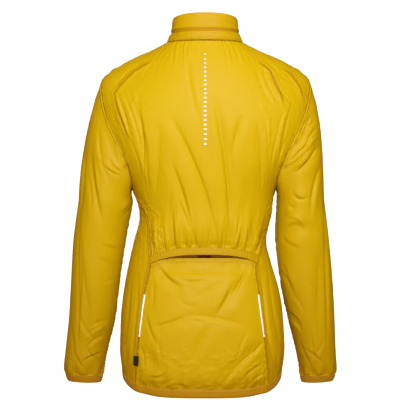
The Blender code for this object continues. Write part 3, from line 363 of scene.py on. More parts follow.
COLLAR_CREASES = (
    (60, 12, 10, 8, 2, 2.6, 1, 0.3), (30, 2, -30, 4, -2, 2.6, 1, -0.3),
    (-4, 12, -62, 9, 2, 2.6, 1.1, 0.3), (70, 4, 36, 14, -1, 2.4, 0.9, 0.3),
    (-34, 15, -70, 3, 1, 2.4, 0.9, 0.3), (50, 46, 12, 43, 2, 3.6, 0.7, 0.3),
    (0, 47, -52, 44, 2, 3.6, 0.7, -0.3),
)


# ---- the solids' own shapes ----------------------------------------------------------------------
def spline(rows, columns, place):
    values = np.array(rows)
    place = np.clip(np.asarray(place, float), 0, len(rows) - 1)
    low = np.minimum(place.astype(int), len(rows) - 2)
    t = (place - low)[..., None]
    before = values[np.maximum(low - 1, 0)]
    first, second = values[low], values[low + 1]
    after = values[np.minimum(low + 2, len(rows) - 1)]
    mixed = first + 0.5 * t * (
        second - before
        + t * (2 * before - 5 * first + 4 * second - after + t * (3 * (first - second) + after - before)))
    return dict(zip(columns, np.moveaxis(mixed, -1, 0)))


def smooth(t):
    t = np.clip(t, 0, 1)
    return t * t * (3 - 2 * t)


def stack(x, y, z):
    return np.stack(np.broadcast_arrays(x, y, z), axis=-1)


def sine_cosine(degrees):
    turn = np.radians(np.asarray(degrees, float))
    return np.sin(turn), np.cos(turn)


def upright_of(point):
    """x and z, as seen from in front or behind."""
    return point[..., 0], point[..., 2]


def ring_point(angle, ring, half, tilt=0):
    sine, cosine = sine_cosine(angle)
    forward = cosine < 0
    y_end = np.where(forward, ring["y_front"], ring["y_back"])
    z_end = np.where(forward, ring["z_front"], ring["z_back"])
    x = half * np.sign(sine) * np.abs(sine) ** ROUNDNESS
    y = ring["y_side"] + (y_end - ring["y_side"]) * np.abs(cosine) ** ROUNDNESS
    share = smooth(np.abs(cosine)) * (1 - tilt) + np.abs(cosine) ** RIM_SLOPE * tilt
    z = ring["z_side"] + (z_end - ring["z_side"]) * share
    return stack(x, y, z)


def half_of(ring, on_left):
    return np.where(on_left, ring["half_left"], ring["half_right"])


def torso(angle, place):
    angle, place = np.broadcast_arrays(np.asarray(angle, float), np.asarray(place, float))
    ring = spline(TORSO, TORSO_COLUMNS, place)
    return ring_point(angle, ring, half_of(ring, np.sin(np.radians(angle)) >= 0))


def collar_ring(angle, place):
    angle, place = np.broadcast_arrays(np.asarray(angle, float), np.asarray(place, float))
    ring = spline(COLLAR, COLLAR_COLUMNS, place)
    return ring_point(angle, ring, ring["half"], tilt=place / COLLAR_TOP_RING)


def torso_place(z):
    """The ring number at height z, between the rings where back and side are level."""
    places = np.linspace(UNDERARM_RING, HEM_RING, 161)
    heights = spline(TORSO, TORSO_COLUMNS, places)["z_back"]
    return np.interp(-np.asarray(z, float), -heights, places)


def armhole_turn(place):
    return np.degrees(np.arccos(np.clip((ARMHOLE_MIDDLE - place) / ARMHOLE_REACH, -1, 1)))


def armhole(turn):
    """Angle from the side line and ring number of the armhole, 0 at the top, 90 at the back."""
    sine, cosine = sine_cosine(turn)
    bite = np.where(sine >= 0, ARMHOLE_BITE_BACK, ARMHOLE_BITE_FRONT)
    return bite * sine * (1 - ARMHOLE_SKEW * cosine), ARMHOLE_MIDDLE - ARMHOLE_REACH * cosine


def back_edge(place, side):
    """Angle from the centre back where the back piece ends: shoulder seam, armhole, then side seam."""
    place = np.asarray(place, float)
    seam = spline(SEAM, SEAM_COLUMNS, place - UNDERARM_RING)[SIDE_NAMES[side]]
    bite, _ = armhole(armhole_turn(place))
    return np.where(place <= TIP_RING, 90, np.where(place < UNDERARM_RING, 90 - bite, seam))


def front_edge(place, side):
    place = np.asarray(place, float)
    bite, _ = armhole(-armhole_turn(place))
    inside = (place > TIP_RING) & (place < UNDERARM_RING)
    return np.where(inside, 90 - bite, back_edge(place, side))


def further_round(angle, place, distance):
    """The angle that lies a short distance further from the centre back on a ring."""
    step = 0.5
    length = np.linalg.norm(torso(angle + step, place) - torso(angle, place), axis=-1)
    return angle + distance * step / length


def angle_beside_zip(half, x):
    return 180 - np.degrees(np.arcsin((x / half) ** (1 / ROUNDNESS)))


def bell(distance, reach):
    """1 at no distance, falling to about a third at the reach and nearly nothing at twice it."""
    return np.exp(-((distance / reach) ** 2))


def beside_line(row, x, z):
    """How many of its widths off a fold's bowed line each point lies, the fold's depth, and a share that
    falls to nothing at both its ends."""
    x0, z0, x1, z1, bow, width, depth = (value / 1000 for value in row[:7])
    run_x, run_z = x1 - x0, z1 - z0
    length = math.hypot(run_x, run_z)
    along = ((x - x0) * run_x + (z - z0) * run_z) / length**2
    aside = ((x - x0) * run_z - (z - z0) * run_x) / length - bow * 4 * along * (1 - along)
    inside = np.sin(np.pi * np.clip(along, 0, 1)) * ((along > 0) & (along < 1))
    return aside / width, depth, inside


def trough(folds, x, z):
    """How far these folds sink the cloth at (x, z): a valley between two low shoulders."""
    sunk = np.zeros(np.broadcast(x, z).shape)
    for fold in folds:
        off, depth, inside = beside_line(fold, x, z)
        sunk += FOLDS_SHOWN * depth * inside**FOLD_FADE * (1 - off**2) * np.exp(-FOLD_FALL * off**2)
    return sunk


def inside_ends(share, reach, start=0):
    """0 at both ends of a piece, and 1 further in than start plus reach, as shares of its length."""
    return smooth((np.minimum(share, 1 - share) - start) / reach)


def creases(rows, x, z):
    """How far these creases move the cloth out: each is a narrow valley with a rounded ridge beside it,
    on the side that its lean gives, as where thin cloth folds over on itself."""
    moved = np.zeros(np.broadcast(x, z).shape)
    for row in rows:
        off, depth, inside = beside_line(row, x, z)
        lean = row[7]
        off = off * math.copysign(1, lean)
        beside = np.maximum(off, 0) * RIDGE_RATE
        ridge = beside * np.exp(1 - beside) * (RIDGE_LEVEL + abs(lean))
        moved += CREASE_SHOWN * depth * inside**CREASE_FADE * (ridge - bell(off, VALLEY_HALF))
    return moved


def distance_to(path, x, z):
    """The distance from (x, z) to a line through these points, seen from behind."""
    nearest = np.full(np.broadcast(x, z).shape, np.inf)
    for (x0, z0), (x1, z1) in zip(path, path[1:]):
        run_x, run_z = x1 - x0, z1 - z0
        share = ((x - x0) * run_x + (z - z0) * run_z) / (run_x**2 + run_z**2)
        share = np.clip(share, 0, 1)
        nearest = np.minimum(nearest, np.hypot(x - x0 - share * run_x, z - z0 - share * run_z))
    return nearest


def fade_at_edges(across, along, reach_across, reach_along):
    return inside_ends(across, reach_across) * inside_ends(along, reach_along)


def waves_of(table, phase):
    return sum(size * np.sin(2 * np.pi * waves * phase + start) for size, waves, start in table)


def gathers(phase, waves, depth):
    """Uneven waves side by side along an elastic edge; phase runs from 0 to 1 along it."""
    return depth * np.cos(2 * np.pi * waves * phase + waves_of(WANDER, phase))


def outward(surface, across, along):
    """The surface's unit normal, pointing away from the wearer, from two short steps on it."""
    step = 1e-5
    along = np.minimum(along, 1 - step)
    here = surface(across, along)
    normal = np.cross(surface(across + step, along) - here, surface(across, along + step) - here)
    size = np.linalg.norm(normal, axis=-1, keepdims=True)
    return normal / np.maximum(size, 1e-30)


def raised(surface, *lifts):
    """The surface with each point moved out along its normal by the sum of the lifts."""
    def placed(across, along):
        point = surface(across, along)
        lift = sum(one(across, along, point) for one in lifts)
        return point + outward(surface, across, along) * lift[..., None]
    return placed


def moved_out(surface, distance):
    return raised(surface, lambda across, along, point: np.full(across.shape, distance))


def vent_edge_z(across):
    return VENT_CORNER_Z + (VENT_CENTRE_Z - VENT_CORNER_Z) * (1 - np.abs(2 * across - 1) ** 2.2)


def above_casing(across, z):
    return z - (vent_edge_z(across) + VENT_BAND_HEIGHT)


def back_angle(across, place, gap=SEAM_GAP / 2):
    """The angle at a share across the back. Only the outer columns take up the seam's quick turns at
    the ends of the armhole, and the inner ones run on straight."""
    offset = 1 - 2 * across
    left = further_round(back_edge(place, 1), place, -gap)
    right = further_round(back_edge(place, -1), place, -gap)
    edge = np.where(offset > 0, left, right)
    even = np.minimum(edge, np.interp(place, EVEN_RINGS, EVEN_ANGLES))
    return offset * (even + (edge - even) * np.abs(offset) ** 3)


def rings_to_neck(along, counts, foot, below, at_seam):
    beside, above = counts[-2] / sum(counts), counts[-1] / sum(counts)
    start = 1 - beside - above
    _, round_armhole = armhole(180 * (1 - np.clip((along - start) / beside, 0, 1)))
    over = TIP_RING * (1 - along) / above
    matched = np.where(along < start, below, np.where(along < start + beside, round_armhole, over))
    even = foot * (1 - along)
    return np.maximum(even + (matched - even) * at_seam, 0.006)


def back_upper_surface(across, along):
    foot = torso_place(vent_edge_z(across) + VENT_BAND_HEIGHT + SEAM_GAP)
    below = foot + (UNDERARM_RING - foot) * along * sum(BACK_ROWS) / BACK_ROWS[0]
    at_seam = smooth((np.abs(2 * across - 1) - 0.3) / 0.65)
    place = rings_to_neck(along, BACK_ROWS, foot, below, at_seam)
    return torso(back_angle(across, place), place)


def back_upper_lift(across, along, point):
    x, z = upright_of(point)
    rise = above_casing(across, z)
    near = bell(rise, VENT_GATHER_REACH) * smooth(rise / (VENT_BAND_HEIGHT / 2))
    edge = fade_at_edges(across, along, 0.1, 0.06)
    blouse = BLOUSE_DEPTH * bell(rise - BLOUSE_HEIGHT, BLOUSE_HEIGHT) * smooth(2 * rise / BLOUSE_HEIGHT)
    waves = gathers(across, VENT_GATHERS, VENT_GATHER_DEPTH) * near * inside_ends(across, 0.1)
    foot_free = inside_ends(across, 0.1) * smooth((1 - along) / 0.08)
    return waves + blouse * foot_free - trough(BACK_FOLDS, x, z) * np.maximum(edge, near * foot_free * 0.8)


def tail_edge_z(across):
    return np.minimum(vent_edge_z(across) - 1.5 * SEAM_GAP, TAIL_TOP_Z)


def tail_open(across):
    """1 across the vent's open middle and 0 at its corners."""
    return inside_ends(across, 0.15, start=0.06)


def tail_surface(across, along):
    top = torso_place(tail_edge_z(across) + TAIL_MORE * tail_open(across))
    place = PANEL_FOOT + (top - PANEL_FOOT) * along
    return torso(back_angle(across, place, gap=1.5 * SEAM_GAP), place)


def tail_lift(across, along, point):
    x, z = upright_of(point)
    tuck = -TAIL_TUCK * smooth((z - TUCK_FOOT_Z) / TUCK_RISE) * tail_open(across)
    edge = fade_at_edges(across, along, 0.07, 0.06)
    waves = gathers(across, HEM_WAVES_BACK, HEM_GATHER_DEPTH) * bell(z - HEM_TOP_BACK_Z, HEM_GATHER_REACH)
    return tuck + (waves - trough(TAIL_FOLDS, x, z)) * edge


def front_share(across, side):
    """0 at the seam with the back and 1 at the zip."""
    return 1 - across if side > 0 else across


def front_surface(side):
    def surface(across, along):
        ends = np.cumsum((0,) + FRONT_ROWS[:3]) / sum(FRONT_ROWS)
        vent_foot = torso_place(VENT_CORNER_Z - 1.5 * SEAM_GAP)
        vent_top = torso_place(VENT_CORNER_Z + VENT_BAND_HEIGHT + SEAM_GAP)
        below = np.interp(along, ends, (PANEL_FOOT, vent_foot, vent_top, UNDERARM_RING))
        share = front_share(across, side)
        at_seam = smooth((0.85 - share) / 0.8)
        place = rings_to_neck(along, FRONT_ROWS, PANEL_FOOT, below, at_seam)
        half = half_of(spline(TORSO, TORSO_COLUMNS, place), side > 0)
        first = further_round(front_edge(place, side), place, SEAM_GAP / 2)
        last = angle_beside_zip(half, ZIP_WIDTH / 2)
        return torso(side * (first + (last - first) * share), place)
    return surface


def front_lift(side):
    def lift(across, along, point):
        x, z = upright_of(point)
        facing = smooth(-point[..., 1] / 0.03)
        edge = fade_at_edges(across, along, 0.1, 0.06)
        near_hem = bell(z - HEM_TOP_FRONT_Z, HEM_GATHER_REACH)
        waves = gathers(across, HEM_WAVES_FRONT, HEM_GATHER_DEPTH) * near_hem
        return (waves - trough(FRONT_FOLDS, x, z) * facing) * edge
    return lift


def sleeve_section(side, turn, place):
    section = spline(SLEEVE, SLEEVE_COLUMNS, place)
    outer, inner = section["outer_" + SIDE_NAMES[side]], section["inner_" + SIDE_NAMES[side]]
    sine, cosine = sine_cosine(turn)
    share = (1 + cosine) / 2
    x = inner + (outer - inner) * share
    z = section["z_inner"] + (section["z_outer"] - section["z_inner"]) * share
    return stack(side * x, section["y_middle"] + section["half_depth"] * sine, z)


def sleeve_cap(side, turn, t):
    bite, place = armhole(turn)
    start = torso(side * (90 - bite), place)
    end = sleeve_section(side, turn, 0)
    top = (1 + np.cos(np.radians(turn)))[..., None] / 2
    mirror = np.array([side, 1, 1])
    leave = (top * LEAVE_TOP + (1 - top) * LEAVE_FOOT) * mirror
    arrive = ARRIVE * mirror
    chord = np.linalg.norm(end - start, axis=-1, keepdims=True)
    s = np.asarray(t, float)[..., None]
    bend = (
        start * (2 * s**3 - 3 * s**2 + 1) + end * (3 * s**2 - 2 * s**3)
        + leave * chord * (s**3 - 2 * s**2 + s) + arrive * chord * (s**3 - s**2))
    clear = leave / np.linalg.norm(leave, axis=-1, keepdims=True) * 2 * SEAM_GAP
    return bend + clear * (1 - s)


def sleeve_surface(side):
    """Across runs round the arm; along runs from the cuff, 0, to the armhole, 1."""
    def surface(across, along):
        turn = 360 * across * side
        cap = sleeve_cap(side, turn, np.clip((1 - along) / CAP_SHARE, 0, 1))
        arm = sleeve_section(side, turn, SLEEVE_FOOT * (1 - along / (1 - CAP_SHARE)))
        return np.where((along > 1 - CAP_SHARE)[..., None], cap, arm)
    return surface


def sleeve_faces(across, side):
    """How much a point of the sleeve faces back, and how much it faces forward."""
    sine = np.sin(2 * np.pi * across * side)
    return smooth((sine + 0.1) / 0.5), smooth((0.1 - sine) / 0.5)


def sleeve_lift(side):
    def lift(across, along, point):
        x, z = upright_of(point)
        behind, ahead = sleeve_faces(across, side)
        edge = smooth((1 - along) / 0.08) * smooth(along / 0.06)
        near_cuff = bell(along - 0.05, 0.06) * smooth(along / 0.03)
        sunk = trough(SLEEVE_BACK_FOLDS, x, z) * behind + trough(SLEEVE_FRONT_FOLDS, x, z) * ahead
        return CUFF_GATHER_DEPTH * np.cos(2 * np.pi * CUFF_GATHERS * across) * near_cuff - sunk * edge
    return lift


def collar_surface(across, along):
    place = COLLAR_TOP_RING * COLLAR_SHOWN * along
    limit = angle_beside_zip(spline(COLLAR, COLLAR_COLUMNS, place)["half"], ZIP_WIDTH / 2)
    return collar_ring(limit * (1 - 2 * across), place)


def collar_lift(across, along, point):
    return waves_of(COLLAR_ROLLS, across) * smooth(along / 0.15) * smooth((0.55 - along) / 0.2)


def zip_middle(along):
    """The closed zip's middle line, from the hem up over the chest to the collar's edge."""
    share = ZIP_SHARE_BELOW_NECK
    body = torso(180, HEM_RING * (1 - np.minimum(along / share, 1)))
    neck = collar_ring(180, COLLAR_TOP_RING * np.clip((along - share) / (1 - share), 0, 1))
    return np.where((along < share)[..., None], body, neck)


# ---- fine form -----------------------------------------------------------------------------------
LATTICE = 64
GIRTH_RADIUS = 0.13  # of a round torso with about the same girth
SOFT, CRISP = 0.12, 0.04  # how rounded the valleys of a layer of wrinkles are


def noise(u, v, seed, around=LATTICE):
    """Smooth noise from about -0.7 to 0.7, one bump for each unit of u and v. It repeats after the whole
    number of units in u that around gives."""
    angles = np.random.default_rng(seed).uniform(0, 2 * np.pi, (LATTICE, LATTICE))
    cell_u, cell_v = np.floor(u).astype(int), np.floor(v).astype(int)
    off_u, off_v = u - cell_u, v - cell_v
    ease_u, ease_v = (off**3 * (off * (off * 6 - 15) + 10) for off in (off_u, off_v))

    def corner(step_u, step_v):
        turn = angles[(cell_u + step_u) % around, (cell_v + step_v) % LATTICE]
        return np.cos(turn) * (off_u - step_u) + np.sin(turn) * (off_v - step_v)

    low = corner(0, 0) + (corner(1, 0) - corner(0, 0)) * ease_u
    high = corner(0, 1) + (corner(1, 1) - corner(0, 1)) * ease_u
    return low + (high - low) * ease_v


def wrinkles(u, v, seed, heading, length, width, sharp):
    """Long soft creases on a cloth whose own coordinates are u and v, in metres. Heading is the
    creases' direction in degrees from v, and they are narrow valleys between rounded ridges."""
    turn = np.radians(heading)
    side_way = (u * np.cos(turn) - v * np.sin(turn)) / width
    long_way = (u * np.sin(turn) + v * np.cos(turn)) / length
    bend = 0.9 * noise(side_way * 0.23, long_way * 0.9, seed + 1)
    value = noise(side_way + bend * 2, long_way, seed)
    return np.sqrt(value**2 + sharp**2) - sharp - 0.25


def layered(u, v, *layers):
    """The sum of layers of wrinkles, each a depth and then a seed, heading, length, width and sharp."""
    return sum(depth * wrinkles(u, v, *rest) for depth, *rest in layers)


def torso_flat(point):
    """Coordinates in metres round and up the torso, which run on smoothly past every seam."""
    return GIRTH_RADIUS * np.arctan2(point[..., 0], point[..., 1]), point[..., 2]


def behind_seam(u, v):
    """How far round the torso a point lies behind the side seam, level with it; negative in front."""
    places = np.linspace(UNDERARM_RING, HEM_RING, 60)
    away = np.zeros_like(u)
    for side, _ in SIDES:
        seam_u, seam_v = torso_flat(torso(side * back_edge(places, side), places))
        away = np.where(np.sign(u) == side, np.interp(-v, -seam_v, np.abs(seam_u)) - np.abs(u), away)
    return away


# Painted shade in the tucks by the armholes: 1 at each tuck, fading over TUCK_REACH.
def painted_tuck_shade(x, z):
    return sum(bell(np.hypot(x - tuck_x, z - tuck_z), TUCK_REACH) for tuck_x, tuck_z in SHADED_TUCKS)


def pucker(distance, place, seed, depth=0.001, reach=0.009, pitch=0.0075):
    """Small cross waves that a seam's thread draws into the cloth beside it, in uneven stretches."""
    uneven = 1.1 + 1.4 * noise(place / 0.045, 0 * place, seed + 1)
    wave = noise(place / pitch, distance / 0.022, seed) * uneven
    return depth * wave * 2 * bell(distance, reach) * smooth(distance / 0.0015)


def drawn_in(across, away, depth, waves, reach, wander=2, rate=2):
    """The close waves that elastic draws into the cloth beside it, uneven by wander."""
    wave = np.cos(2 * np.pi * waves * across + wander * waves_of(WANDER, across * rate))
    return depth * wave * bell(away, reach)


def drawn_at_hem(across, to_hem, to_seam, waves):
    return drawn_in(across, to_hem, 0.0006, waves, 0.014) * smooth(to_hem / 0.002) * smooth(to_seam / 0.01)


def seam_lap(distance):
    """The extra layers of a flat-felled seam: a groove at the seam, then a low step that ends at its
    second row of stitches."""
    groove = SEAM_GROOVE * bell(distance, 0.002)
    return SEAM_LAP_RISE * smooth((SEAM_LAP_WIDTH - distance) / 0.0012) - groove


def lap_tint(distance):
    """1 where a seam has its extra layers of cloth, which look deeper in colour."""
    return smooth((SEAM_LAP_WIDTH - distance) / 0.0015)


def painted_hem_shade(along, cut):
    """Painted shade, which grows towards the hem."""
    return smooth((0.045 - along * cut[1]) / 0.04)


def shoulder_seam(x, z):
    """The shoulder seams' relief, and their tint: a dark line along each seam's groove, partly the seam's
    extra layers and partly painted shade.
    """
    relief, tint = 0 * x, 0 * x
    for path in SHOULDER_SEAMS:
        away = distance_to(path, x, z)
        ends = np.minimum(*(np.hypot(x - end_x, z - end_z) for end_x, end_z in (path[0], path[-1])))
        shown = smooth(ends / SHOULDER_SEAM_END)
        relief = relief + shown * (
            0.0008 * bell(away - 0.004, 0.0022) - 0.0012 * bell(away, 0.0016)
            + pucker(away, z, 57, depth=0.0007, reach=0.007))
        # the dark line along the groove, partly painted shade
        tint = np.maximum(tint, shown * smooth((0.0038 - away) / 0.002))
    return relief, tint


def from_sides(across, cut):
    """How far in from the nearer side of a cut piece, in metres."""
    return np.minimum(across, 1 - across) * cut[0]


def back_marks(across, along, point):
    x, z = upright_of(point)
    to_neck = (1 - along) * BACK_CUT[1]
    # Deeper colour from the seams' extra layers, at the casing's top edge, on the shoulder seams' dark line
    # (partly painted shade), and painted shade in the tucks by the armholes.
    return np.maximum.reduce([
        lap_tint(from_sides(across, BACK_CUT)), 0.8 * shoulder_seam(x, z)[1], 0.7 * lap_tint(to_neck + 0.002),
        0.6 * smooth((0.004 - above_casing(across, z)) / 0.003), painted_tuck_shade(x, z)])


def back_fine(across, along, point):
    x, z = upright_of(point)
    u, v = torso_flat(point)
    to_seam, to_neck = from_sides(across, BACK_CUT), (1 - along) * BACK_CUT[1]
    rise = above_casing(across, z)
    edge = smooth(to_seam / 0.012) * smooth(to_neck / 0.004)
    low_edge = smooth(rise / 0.004)
    folded = (creases(BACK_CREASES, x, z) + creases(VENT_CREASES, x, z)) * edge * low_edge
    shoulder = smooth((np.abs(x) - 0.085) / 0.04) * smooth((z + 0.3) / 0.06)
    waist = smooth((-0.225 - z) / 0.04) * smooth((0.06 - behind_seam(u, v)) / 0.045)
    upper = smooth((z + 0.26) / 0.08) * smooth((0.12 - np.abs(x)) / 0.04)
    calm = 1 - 0.6 * upper
    crumpled = 0.0026 * waist + 0.0005 * (shoulder + 0.25 - 0.2 * upper)
    fine = layered(
        u, v, (0.0009 * calm, 11, 5, 0.095, 0.014, SOFT), (0.0005 * calm, 15, -3, 0.07, 0.0062, CRISP),
        (0.0011 * shoulder, 21, -12 * np.sign(x), 0.04, 0.0068, CRISP),
        (crumpled, 31, 55, 0.015, 0.0085, CRISP), (crumpled, 41, -35, 0.013, 0.007, CRISP))
    fine = fine + 0.0011 * bell(to_neck, 0.05) * noise(u / 0.0065, v / 0.06, 47)
    drawn = drawn_in(across, rise, 0.0008, 46, 0.02, wander=2.2, rate=3)
    return (folded + (fine + drawn) * edge * low_edge + shoulder_seam(x, z)[0] * edge
            + (pucker(to_seam, v, 51) + seam_lap(to_seam)) * low_edge
            + pucker(to_neck, u, 52, depth=0.0007) + seam_lap(to_neck))


def tail_marks(across, along, point):
    to_top = (1 - along) * TAIL_CUT[1]
    # The side seams deepen with their extra layers. Painted shade darkens the whole tail a little and more
    # towards the hem, and its top edge where it shows in the vent's slit.
    towards_hem = 0.12 + 0.5 * painted_hem_shade(along, TAIL_CUT)
    seam = 0.8 * lap_tint(from_sides(across, TAIL_CUT))
    return np.maximum.reduce([seam, 0.4 * smooth((0.012 - to_top) / 0.001), towards_hem])


def tail_fine(across, along, point):
    x, z = upright_of(point)
    u, v = torso_flat(point)
    to_seam, to_hem, to_top = from_sides(across, TAIL_CUT), along * TAIL_CUT[1], (1 - along) * TAIL_CUT[1]
    edge = smooth(to_seam / 0.01) * smooth(to_hem / 0.006)
    folded = creases(TAIL_CREASES, x, z) * edge * smooth(to_top / 0.004)
    fine = layered(
        u, v, (0.001, 61, 40, 0.06, 0.02, SOFT), (0.0004, 75, 25, 0.05, 0.0068, CRISP),
        (0.0004 + 0.0024 * smooth((-0.58 - z) / 0.05), 71, -52, 0.022, 0.0095, 0.05))
    rolled_under = HEM_ROLL_DEPTH * smooth((HEM_ROLL_REACH - to_hem) / HEM_ROLL_REACH) ** 1.5
    top_hem = 0.0005 * smooth((0.0115 - to_top) / 0.0015)
    top_hem = top_hem + 0.0012 * noise(u / 0.009, v / 0.01, 77) * bell(to_top, 0.014)
    return (folded + fine * edge + top_hem - rolled_under * smooth(to_seam / HEM_ROLL_SIDE)
            + drawn_at_hem(across, to_hem, to_seam, 34)
            + pucker(to_seam, v, 81, depth=0.0008) + seam_lap(to_seam))


def front_marks(side):
    def marks(across, along, point):
        share = front_share(across, side)
        to_seam, to_zip = share * FRONT_CUT[0], (1 - share) * FRONT_CUT[0]
        # Painted shade: the whole front a little deeper, and more towards the hem.
        towards_hem = 0.15 + 0.45 * painted_hem_shade(along, FRONT_CUT)
        at_shoulder = smooth((point[..., 2] + 0.15) / 0.03)
        seam = (0.8 - 0.5 * at_shoulder) * lap_tint(to_seam)
        return np.maximum.reduce([seam, 0.8 * lap_tint(to_zip), towards_hem])
    return marks


def front_fine(side):
    seed = 100 if side > 0 else 200

    def lift(across, along, point):
        x, z = upright_of(point)
        share = front_share(across, side)
        u, v = torso_flat(point)
        to_seam, to_zip = share * FRONT_CUT[0], (1 - share) * FRONT_CUT[0]
        to_hem = along * FRONT_CUT[1]
        facing, behind = smooth(-point[..., 1] / 0.03), smooth(point[..., 1] / 0.02)
        edge = smooth(to_seam / 0.01) * smooth(to_zip / 0.008) * inside_ends(along, 0.01)
        folded = (creases(FRONT_CREASES, x, z) * facing + creases(SIDE_CREASES, x, z) * behind) * edge
        near_arm = smooth((z + 0.33) / 0.05) * smooth((0.3 - np.abs(u)) / 0.08)
        below_arm = smooth((-0.22 - z) / 0.05) * smooth((z + 0.47) / 0.05)
        below_arm = below_arm * smooth((0.06 + behind_seam(u, v)) / 0.05)
        fine = layered(
            u, v, (0.0008, seed + 1, 4, 0.09, 0.013, SOFT),
            (0.0009, seed + 5, 24 * side, 0.055, 0.012, SOFT),
            (0.0005, seed + 21, 3 * side, 0.07, 0.0065, CRISP),
            (0.0004 + 0.001 * near_arm + 0.0022 * below_arm, seed + 9, 50, 0.016, 0.0085, 0.05))
        return (folded + fine * edge + seam_lap(to_seam) + seam_lap(to_zip)
                + drawn_at_hem(across, to_hem, to_seam, 40)
                + pucker(to_seam, v, seed + 13) + pucker(to_zip, v, seed + 17, depth=0.0011, pitch=0.012))
    return lift


def sleeve_marks(across, along, point):
    to_armhole = SLEEVE_CUT[1] * (1 - along)
    under = np.abs(across - 0.5) * SLEEVE_CUT[0]
    # Painted shade: the whole sleeve a little deeper and more towards the cuff, and dark spots in the tucks
    # by the armholes behind.
    towards_cuff = 0.15 + 0.35 * smooth((0.62 - along) / 0.5)
    tuck_shade_behind = painted_tuck_shade(point[..., 0], point[..., 2]) * (point[..., 1] > 0)
    return np.maximum.reduce([0.8 * lap_tint(to_armhole), 0.8 * lap_tint(under), towards_cuff, tuck_shade_behind])


def round_arm(across, height, bumps, seed, soft, level, slope=0):
    """Rounded ridges round a sleeve, with this many bumps round it, so that they join up."""
    return np.sqrt(noise(bumps * across + slope, height, seed, around=bumps) ** 2 + soft) - level


def sleeve_fine(side):
    seed = 300 if side > 0 else 400

    def lift(across, along, point):
        x, z = upright_of(point)
        u, to_cuff = across * SLEEVE_CUT[0], along * SLEEVE_CUT[1]
        behind, ahead = sleeve_faces(across, side)
        to_armhole, under = SLEEVE_CUT[1] - to_cuff, np.abs(across - 0.5) * SLEEVE_CUT[0]
        edge = smooth(to_armhole / 0.01) * smooth(to_cuff / 0.008)
        folded = creases(SLEEVE_BACK_CREASES, x, z) * behind + creases(SLEEVE_FRONT_CREASES, x, z) * ahead
        upright = round_arm(across, to_cuff / 0.11, 32, seed, 0.006, 0.34)
        slanted = round_arm(across, to_cuff / 0.05, 32, seed + 1, 0.003, 0.33, slope=to_cuff / 0.04)
        crossing = round_arm(across, to_cuff / 0.012, 8, seed + 2, 0.003, 0.33)
        thin = round_arm(across, to_cuff / 0.09, LATTICE, seed + 7, 0.002, 0.33)
        near_cap = smooth((0.1 - to_armhole) / 0.08)
        low = smooth((0.11 - to_cuff) / 0.09)
        fine = 0.0006 * upright + 0.0009 * slanted * (0.3 + near_cap + low) + 0.0004 * thin
        fine = fine + (0.0005 * bell(to_cuff - 0.24, 0.04) + 0.0006 * low) * crossing
        drawn = drawn_in(across, to_cuff, 0.0009, 30, 0.016, rate=1) * smooth(to_cuff / 0.002)
        return ((fine + folded) * edge + drawn
                + pucker(to_armhole, u, seed + 3) * inside_ends(across, 0.03) + seam_lap(to_armhole)
                + (pucker(under, to_cuff, seed + 5) + seam_lap(under)) * edge)
    return lift


def in_channel(along):
    return smooth((along - CHANNEL_FOOT) / 0.03) * smooth((CHANNEL_TOP - along) / 0.03)


def collar_marks(across, along, point):
    # Partly the collar's two layers and partly painted shade deepen it all over, painted shade deepens the
    # recessed channel more, and the neck seam's layers deepen its foot.
    return np.maximum(0.35 + 0.65 * in_channel(along), 0.8 * smooth((0.05 - along) / 0.02))


def collar_fine(across, along, point):
    x, z = upright_of(point)
    u, v = across * COLLAR_CUT[0], along * COLLAR_CUT[1]
    behind = smooth((point[..., 1] - 0.01) / 0.02)
    edge = inside_ends(across, 0.03) * inside_ends(along, 0.06)
    lower = smooth((CHANNEL_FOOT - along) / 0.06)
    soft = layered(u, v, (0.0004 + 0.001 * lower, 501, 82, 0.045, 0.0075, SOFT))
    bulge = 0.0012 * np.sin(np.pi * np.clip(along / CHANNEL_FOOT, 0, 1))
    sunk = CHANNEL_SINK * in_channel(along) * (0.7 + 0.8 * bell(np.abs(x) - 0.06, 0.02))
    ruffled = 0.0005 * noise(u / 0.007, v / 0.02, 507) * (in_channel(along) + 0.5 * lower)
    rows = 0.0004 * bell(along - 0.9, 0.03) + 0.0006 * bell(along, 0.03)
    return (creases(COLLAR_CREASES, x, z) * edge * behind + soft * edge + bulge - sunk + ruffled - rows
            + pucker(v, u, 511, depth=0.0006))


# ---- materials -----------------------------------------------------------------------------------
CLOTH_LIGHT = (0.79, 0.6, 0.0006, 1)
CLOTH_DEEP = (0.73, 0.525, 0.0004, 1)
# Deeper nylon, mixed in where the seams have extra layers and where shade is painted on.
CLOTH_LAPPED_AND_SHADED = (0.57, 0.33, 0.0003, 1)
BINDING_LIGHT = (0.48, 0.27, 0.0004, 1)
BINDING_DEEP = (0.39, 0.2, 0.0003, 1)
THREAD = (0.74, 0.48, 0.002, 1)
ZIP_YELLOW = (0.64, 0.36, 0.005, 1)
METAL_YELLOW = (0.6, 0.34, 0.006, 1)
SILVER_LIGHT, SILVER_DEEP = (0.93, 0.92, 0.88, 1), (0.78, 0.78, 0.74, 1)
BLACK_LIGHT, BLACK_DEEP = (0.02, 0.022, 0.02, 1), (0.007, 0.008, 0.007, 1)
STAGE_WHITE = (0.93, 0.93, 0.93, 1)
GRAIN_SCALE, BLOTCH_SCALE = 420, 9
MIX_INPUTS, MIX_RESULT = (0, 6, 7), 2  # a colour Mix node's factor and two colours, and its result


